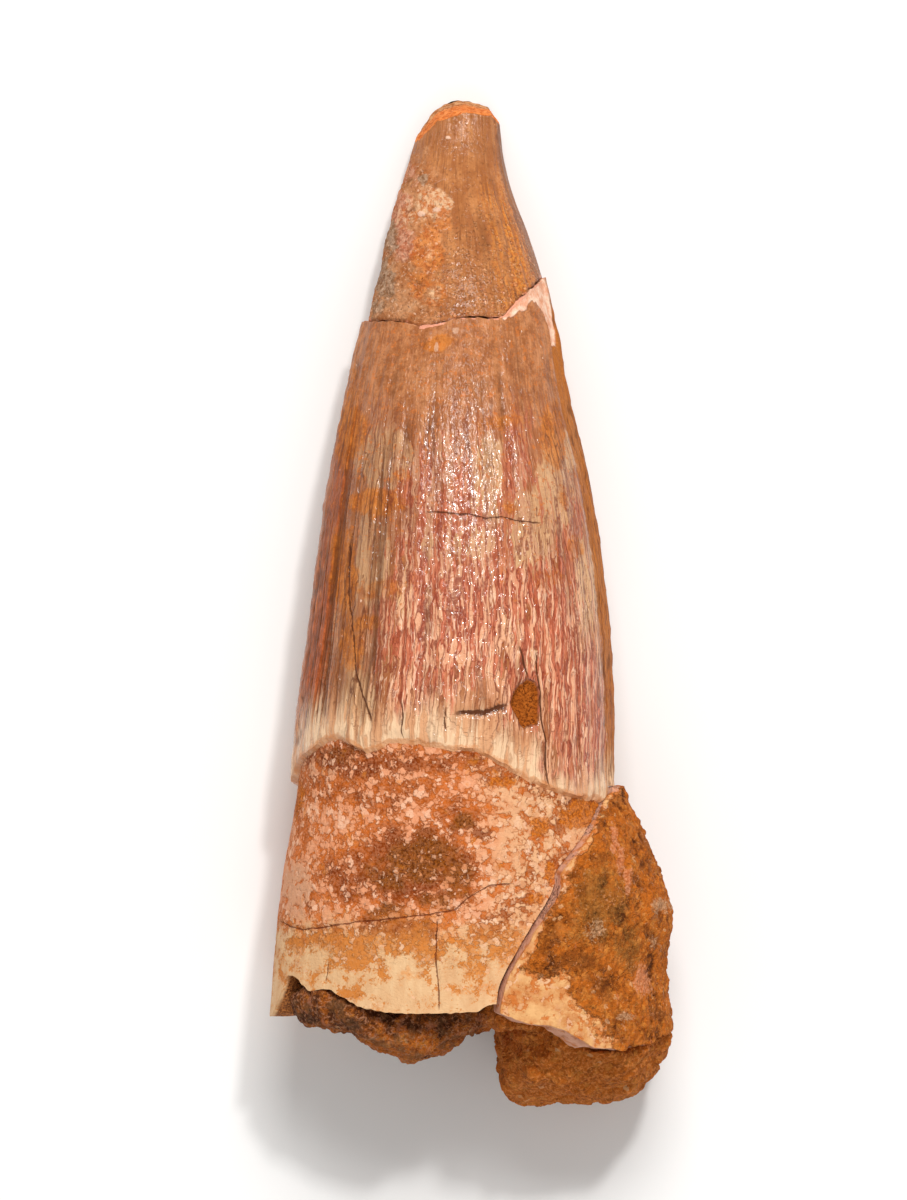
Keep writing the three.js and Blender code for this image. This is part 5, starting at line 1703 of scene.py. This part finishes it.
# painted shade: darker where the tip's relief is low
hollow = r.slope(r.read("relief"), -0.03, -0.12)
tint = r.mix(r.times(hollow, 0.5), tint, TIP_PAINTED_SHADE_TINT)
rim = r.slope(r.read("above"), 0.4, 0.1)
glue = r.slope(r.noise(r.stretch(place, 0.6, 1.0, 0.6), 1.3, 3.0), 0.54, 0.6)
tint = r.mix(r.times(rim, glue, 0.8), tint, TIP_GLUE_TINT)
tint = r.mix(r.times(rim, r.rest_of(glue), 0.6), tint, TIP_RIM_TINT)
r.feed(shader["Base Color"], tint)

# %% The tip's gloss and wrinkles
fine_lines = r.group(fine_streaks, Flow=flow_at, Width=0.2, Length=1.6)["Tone"]
wrinkled = r.slope(r.noise(place, 1.6, 3.0), 0.5, 0.6)
gloss = r.slope(soft_tone, 0.35, 0.65, 0.4, 0.6)
r.feed(shader["Roughness"], r.mix(r.most(patch, chip), gloss, (0.8, 0.8, 0.8, 1.0)))
wrinkles = r.noise(r.stretch(place, 1.0, 0.6, 1.0), 0.34, 1.0, 0.5, 0.4)
r.feed(
    shader["Normal"],
    r.bump(
        (0.04, fine_lines), (0.06, fleck), (0.08, crumbs), (0.1, soft_tone), (0.16, fleck, patch),
        (0.1, wrinkles, r.slope(wrinkled, 0.0, 1.0, 0.3, 1.0)),
    ),
)
r.feed(
    shader["Coat Normal"],
    r.bump((0.1, wrinkles, r.slope(wrinkled, 0.0, 1.0, 0.5, 1.0)), (0.03, fine_lines)),
)
r.feed(shader["Coat Weight"], r.times(r.rest_of(r.most(patch, chip)), 0.4))
evenly(shader, Coat_Roughness=0.1, Specular_IOR_Level=0.15)
make_piece("glued_tip", tip_mesh, "crown_tip", (worn_enamel,))

# %% [markdown]
# ## Crusted dentine of the splinter
# Orange-brown river sand is cemented all over the splinter, with painted shade making its hollows almost
# black. An olive place, dark knots, pale crusts and pink stripes are placed by name. At its lower corner the
# sand has come off, and the cream bone shows with orange stains. The break along its front edge is a fresh
# pinkish face.

# %% The splinter's colours
# a name ending in TINTS holds a first and a second colour
SPLINTER_BONE_TINTS = (200, 124, 64), (232, 178, 118)
SPLINTER_RUST_TINT = colour(204, 112, 44)
FRESH_BREAK_TINTS = (176, 108, 80), (240, 186, 156)

# %% The splinter's sand
crusted, r, shader = finish_called("crusted dentine")
place = r.read("place", vector=True)
# painted shade: the sand is darker where its relief is low
painted_crevice_shade = r.slope(r.read("relief"), 0.05, -0.2)
sand_cover = r.group(
    stained_sand, Place=place, Grain=0.36, Dark=r.plus(0.14, r.times(painted_crevice_shade, 0.2)), Pale_grains=0.01
)
tint = sand_cover["Colour"]
clump = r.noise(place, 1.5, 5.0, 0.66)
fleck = r.noise(place, 0.24, 4.0, 0.7)
# each stain: how its noise is stretched, its size in mm, where it starts and is full, its strength and colour
CRUST_STAINS = [
    ((1.0, 1.0, 1.0), 1.8, 0.56, 0.68, 0.55, (212, 128, 58)),
    ((1.6, 0.7, 1.0), 1.3, 0.64, 0.72, 0.5, (220, 132, 82)),
    ((1.0, 1.0, 1.0), 0.34, 0.62, 0.7, 0.5, (230, 158, 96)),
    ((1.0, 1.0, 1.0), 2.6, 0.44, 0.3, 0.55, (112, 54, 10)),
]
for stretched, size, low, high, strength, stain_tint in CRUST_STAINS:
    stain_here = r.slope(r.noise(r.stretch(place, *stretched), size, 3.0, 0.68), low, high, 0.0, strength)
    tint = r.mix(stain_here, tint, colour(*stain_tint))
# each kept stain: its strength, and its darker and its paler colour
NAMED_STAINS = [
    ("olive", 0.55, (112, 72, 20), (170, 114, 52)), ("dark", 0.6, (84, 40, 8), (146, 76, 20)),
    ("pale", 0.75, (168, 118, 78), (222, 172, 130)), ("pink", 0.7, (200, 108, 60), (236, 160, 116)),
]
for stain_name, strength, dark_tint, pale_tint in NAMED_STAINS:
    level = r.total((1.0, r.read(stain_name)), (1.8, r.centred(fleck)), (1.4, r.centred(clump)))
    here = r.slope(level, 0.2, 0.7, 0.0, strength)
    tint = r.mix(here, tint, r.tones(r.slope(fleck, 0.35, 0.65), dark_tint, pale_tint))

# %% The splinter's clean bone and broken edges
bone = r.tones(r.slope(clump, 0.3, 0.7), *SPLINTER_BONE_TINTS)
clean_level = r.total((0.9, r.read("clean")), (1.6, r.centred(clump)))
stain = r.math("SUBTRACT", 1.14, clean_level)
speckled = r.group(speckled_bone, Place=place, Stain=stain, Grain=0.45, Bone=bone, Rust=SPLINTER_RUST_TINT)
clean_here = patch_of(r, clean_level, place, grain=0.7, ragged=0.8, level=0.4, soft=0.25)
tint = r.mix(clean_here, tint, speckled["Colour"])
broken = r.rest_of(r.slope(r.read("face"), 0.25, 0.7))
broken_tint = r.tones(clump, *FRESH_BREAK_TINTS)
broken_sand = r.slope(r.noise(place, 0.7, 4.0), 0.52, 0.64)
broken_tint = r.mix(r.times(broken_sand, 0.7), broken_tint, sand_cover["Colour"])
tint = r.mix(broken, tint, broken_tint)
r.feed(shader["Base Color"], tint)
rougher = r.slope(clean_here, 0.0, 1.0, 1.0, 0.15)
r.feed(
    shader["Normal"],
    r.bump((0.24, sand_cover["Height"], rougher), (0.06, speckled["Height"], clean_here), (0.08, fleck)),
)
r.feed(shader["Roughness"], r.slope(clean_here, 0.0, 1.0, 0.9, 0.65))
evenly(shader, Specular_IOR_Level=0.18)
make_piece("root_splinter", splinter_mesh, "root_fragment", (crusted,), 70)

# %% [markdown]
# ## Sandstone
# The hard sand is the darkest thing here: orange-brown where it stands out, with painted shade making it
# near black in its hollows and pits, and olive-grey low down. In the hollow root it is darker still, partly
# in its own colour and partly by painted shade from the root's wall, with umber and pinkish clods, and the
# painted shade is deepest close under the broken edge.

# %% The sand's colours
# a name ending in TINTS holds a first and a second colour
OLIVE_SAND_TINT = colour(118, 84, 38)
LIGHT_GRAIN_TINTS = (244, 152, 80), (196, 134, 98)
PIT_PAINTED_SHADE_TINT = colour(74, 32, 8)
UMBER_TINTS = (78, 46, 22), (150, 104, 64)
PINKISH_SAND_TINT = colour(170, 108, 80)

# %% The sand's finish
sandstone, r, shader = finish_called("cemented sand")
place = r.read("place", vector=True)
painted_crevice_shade = r.slope(r.read("relief"), 0.2, -0.25)
in_hollow = r.read("inside")
SAND_DARKNESS = -0.42
# painted shade: darker where the relief is low and close under the root's broken edge; inside the hollow root
# the sand is darker partly in its own colour and partly by painted shade from the root's wall
painted_shade_under_edge = r.slope(r.step_on("ShaderNodeSeparateXYZ", place).outputs[1], -35.0, -32.6)
darkness = r.total((1.0, SAND_DARKNESS), (0.5, painted_crevice_shade), (0.56, in_hollow), (0.18, in_hollow, painted_shade_under_edge))
sand_cover = r.group(stained_sand, Place=place, Grain=0.42, Dark=darkness, Pale_grains=0.01)
tint = sand_cover["Colour"]
olive = r.times(r.slope(r.noise(place, 2.5, 3.0), 0.42, 0.6), r.slope(r.read("on_top"), 0.5, 0.0))
tint = r.mix(r.times(olive, 0.6), tint, OLIVE_SAND_TINT)
fleck = r.noise(place, 0.26, 4.0, 0.72)
tint = r.mix(r.slope(fleck, 0.5, 0.62, 0.0, 0.75), tint, r.tones(in_hollow, *LIGHT_GRAIN_TINTS))
# painted shade in the pits, where the fleck relief is low
tint = r.mix(r.slope(fleck, 0.42, 0.3, 0.0, 0.75), tint, PIT_PAINTED_SHADE_TINT)
umber = r.slope(r.noise(place, 1.4, 4.0, 0.65), 0.48, 0.62)
tint = r.mix(r.times(umber, in_hollow, 0.6), tint, r.tones(fleck, *UMBER_TINTS))
pinkish = r.slope(r.noise(place, 1.1, 4.0, 0.65), 0.58, 0.66)
tint = r.mix(r.times(pinkish, in_hollow, 0.65), tint, PINKISH_SAND_TINT)
r.feed(shader["Base Color"], tint)
r.feed(shader["Normal"], r.bump((0.26, sand_cover["Height"]), (0.36, fleck)))
r.feed(shader["Roughness"], r.slope(fleck, 0.3, 0.7, 0.8, 0.96))
evenly(shader, Specular_IOR_Level=0.2)
make_piece("sand_fill", sand_mesh, "sandstone_matrix", (sandstone,), 75)
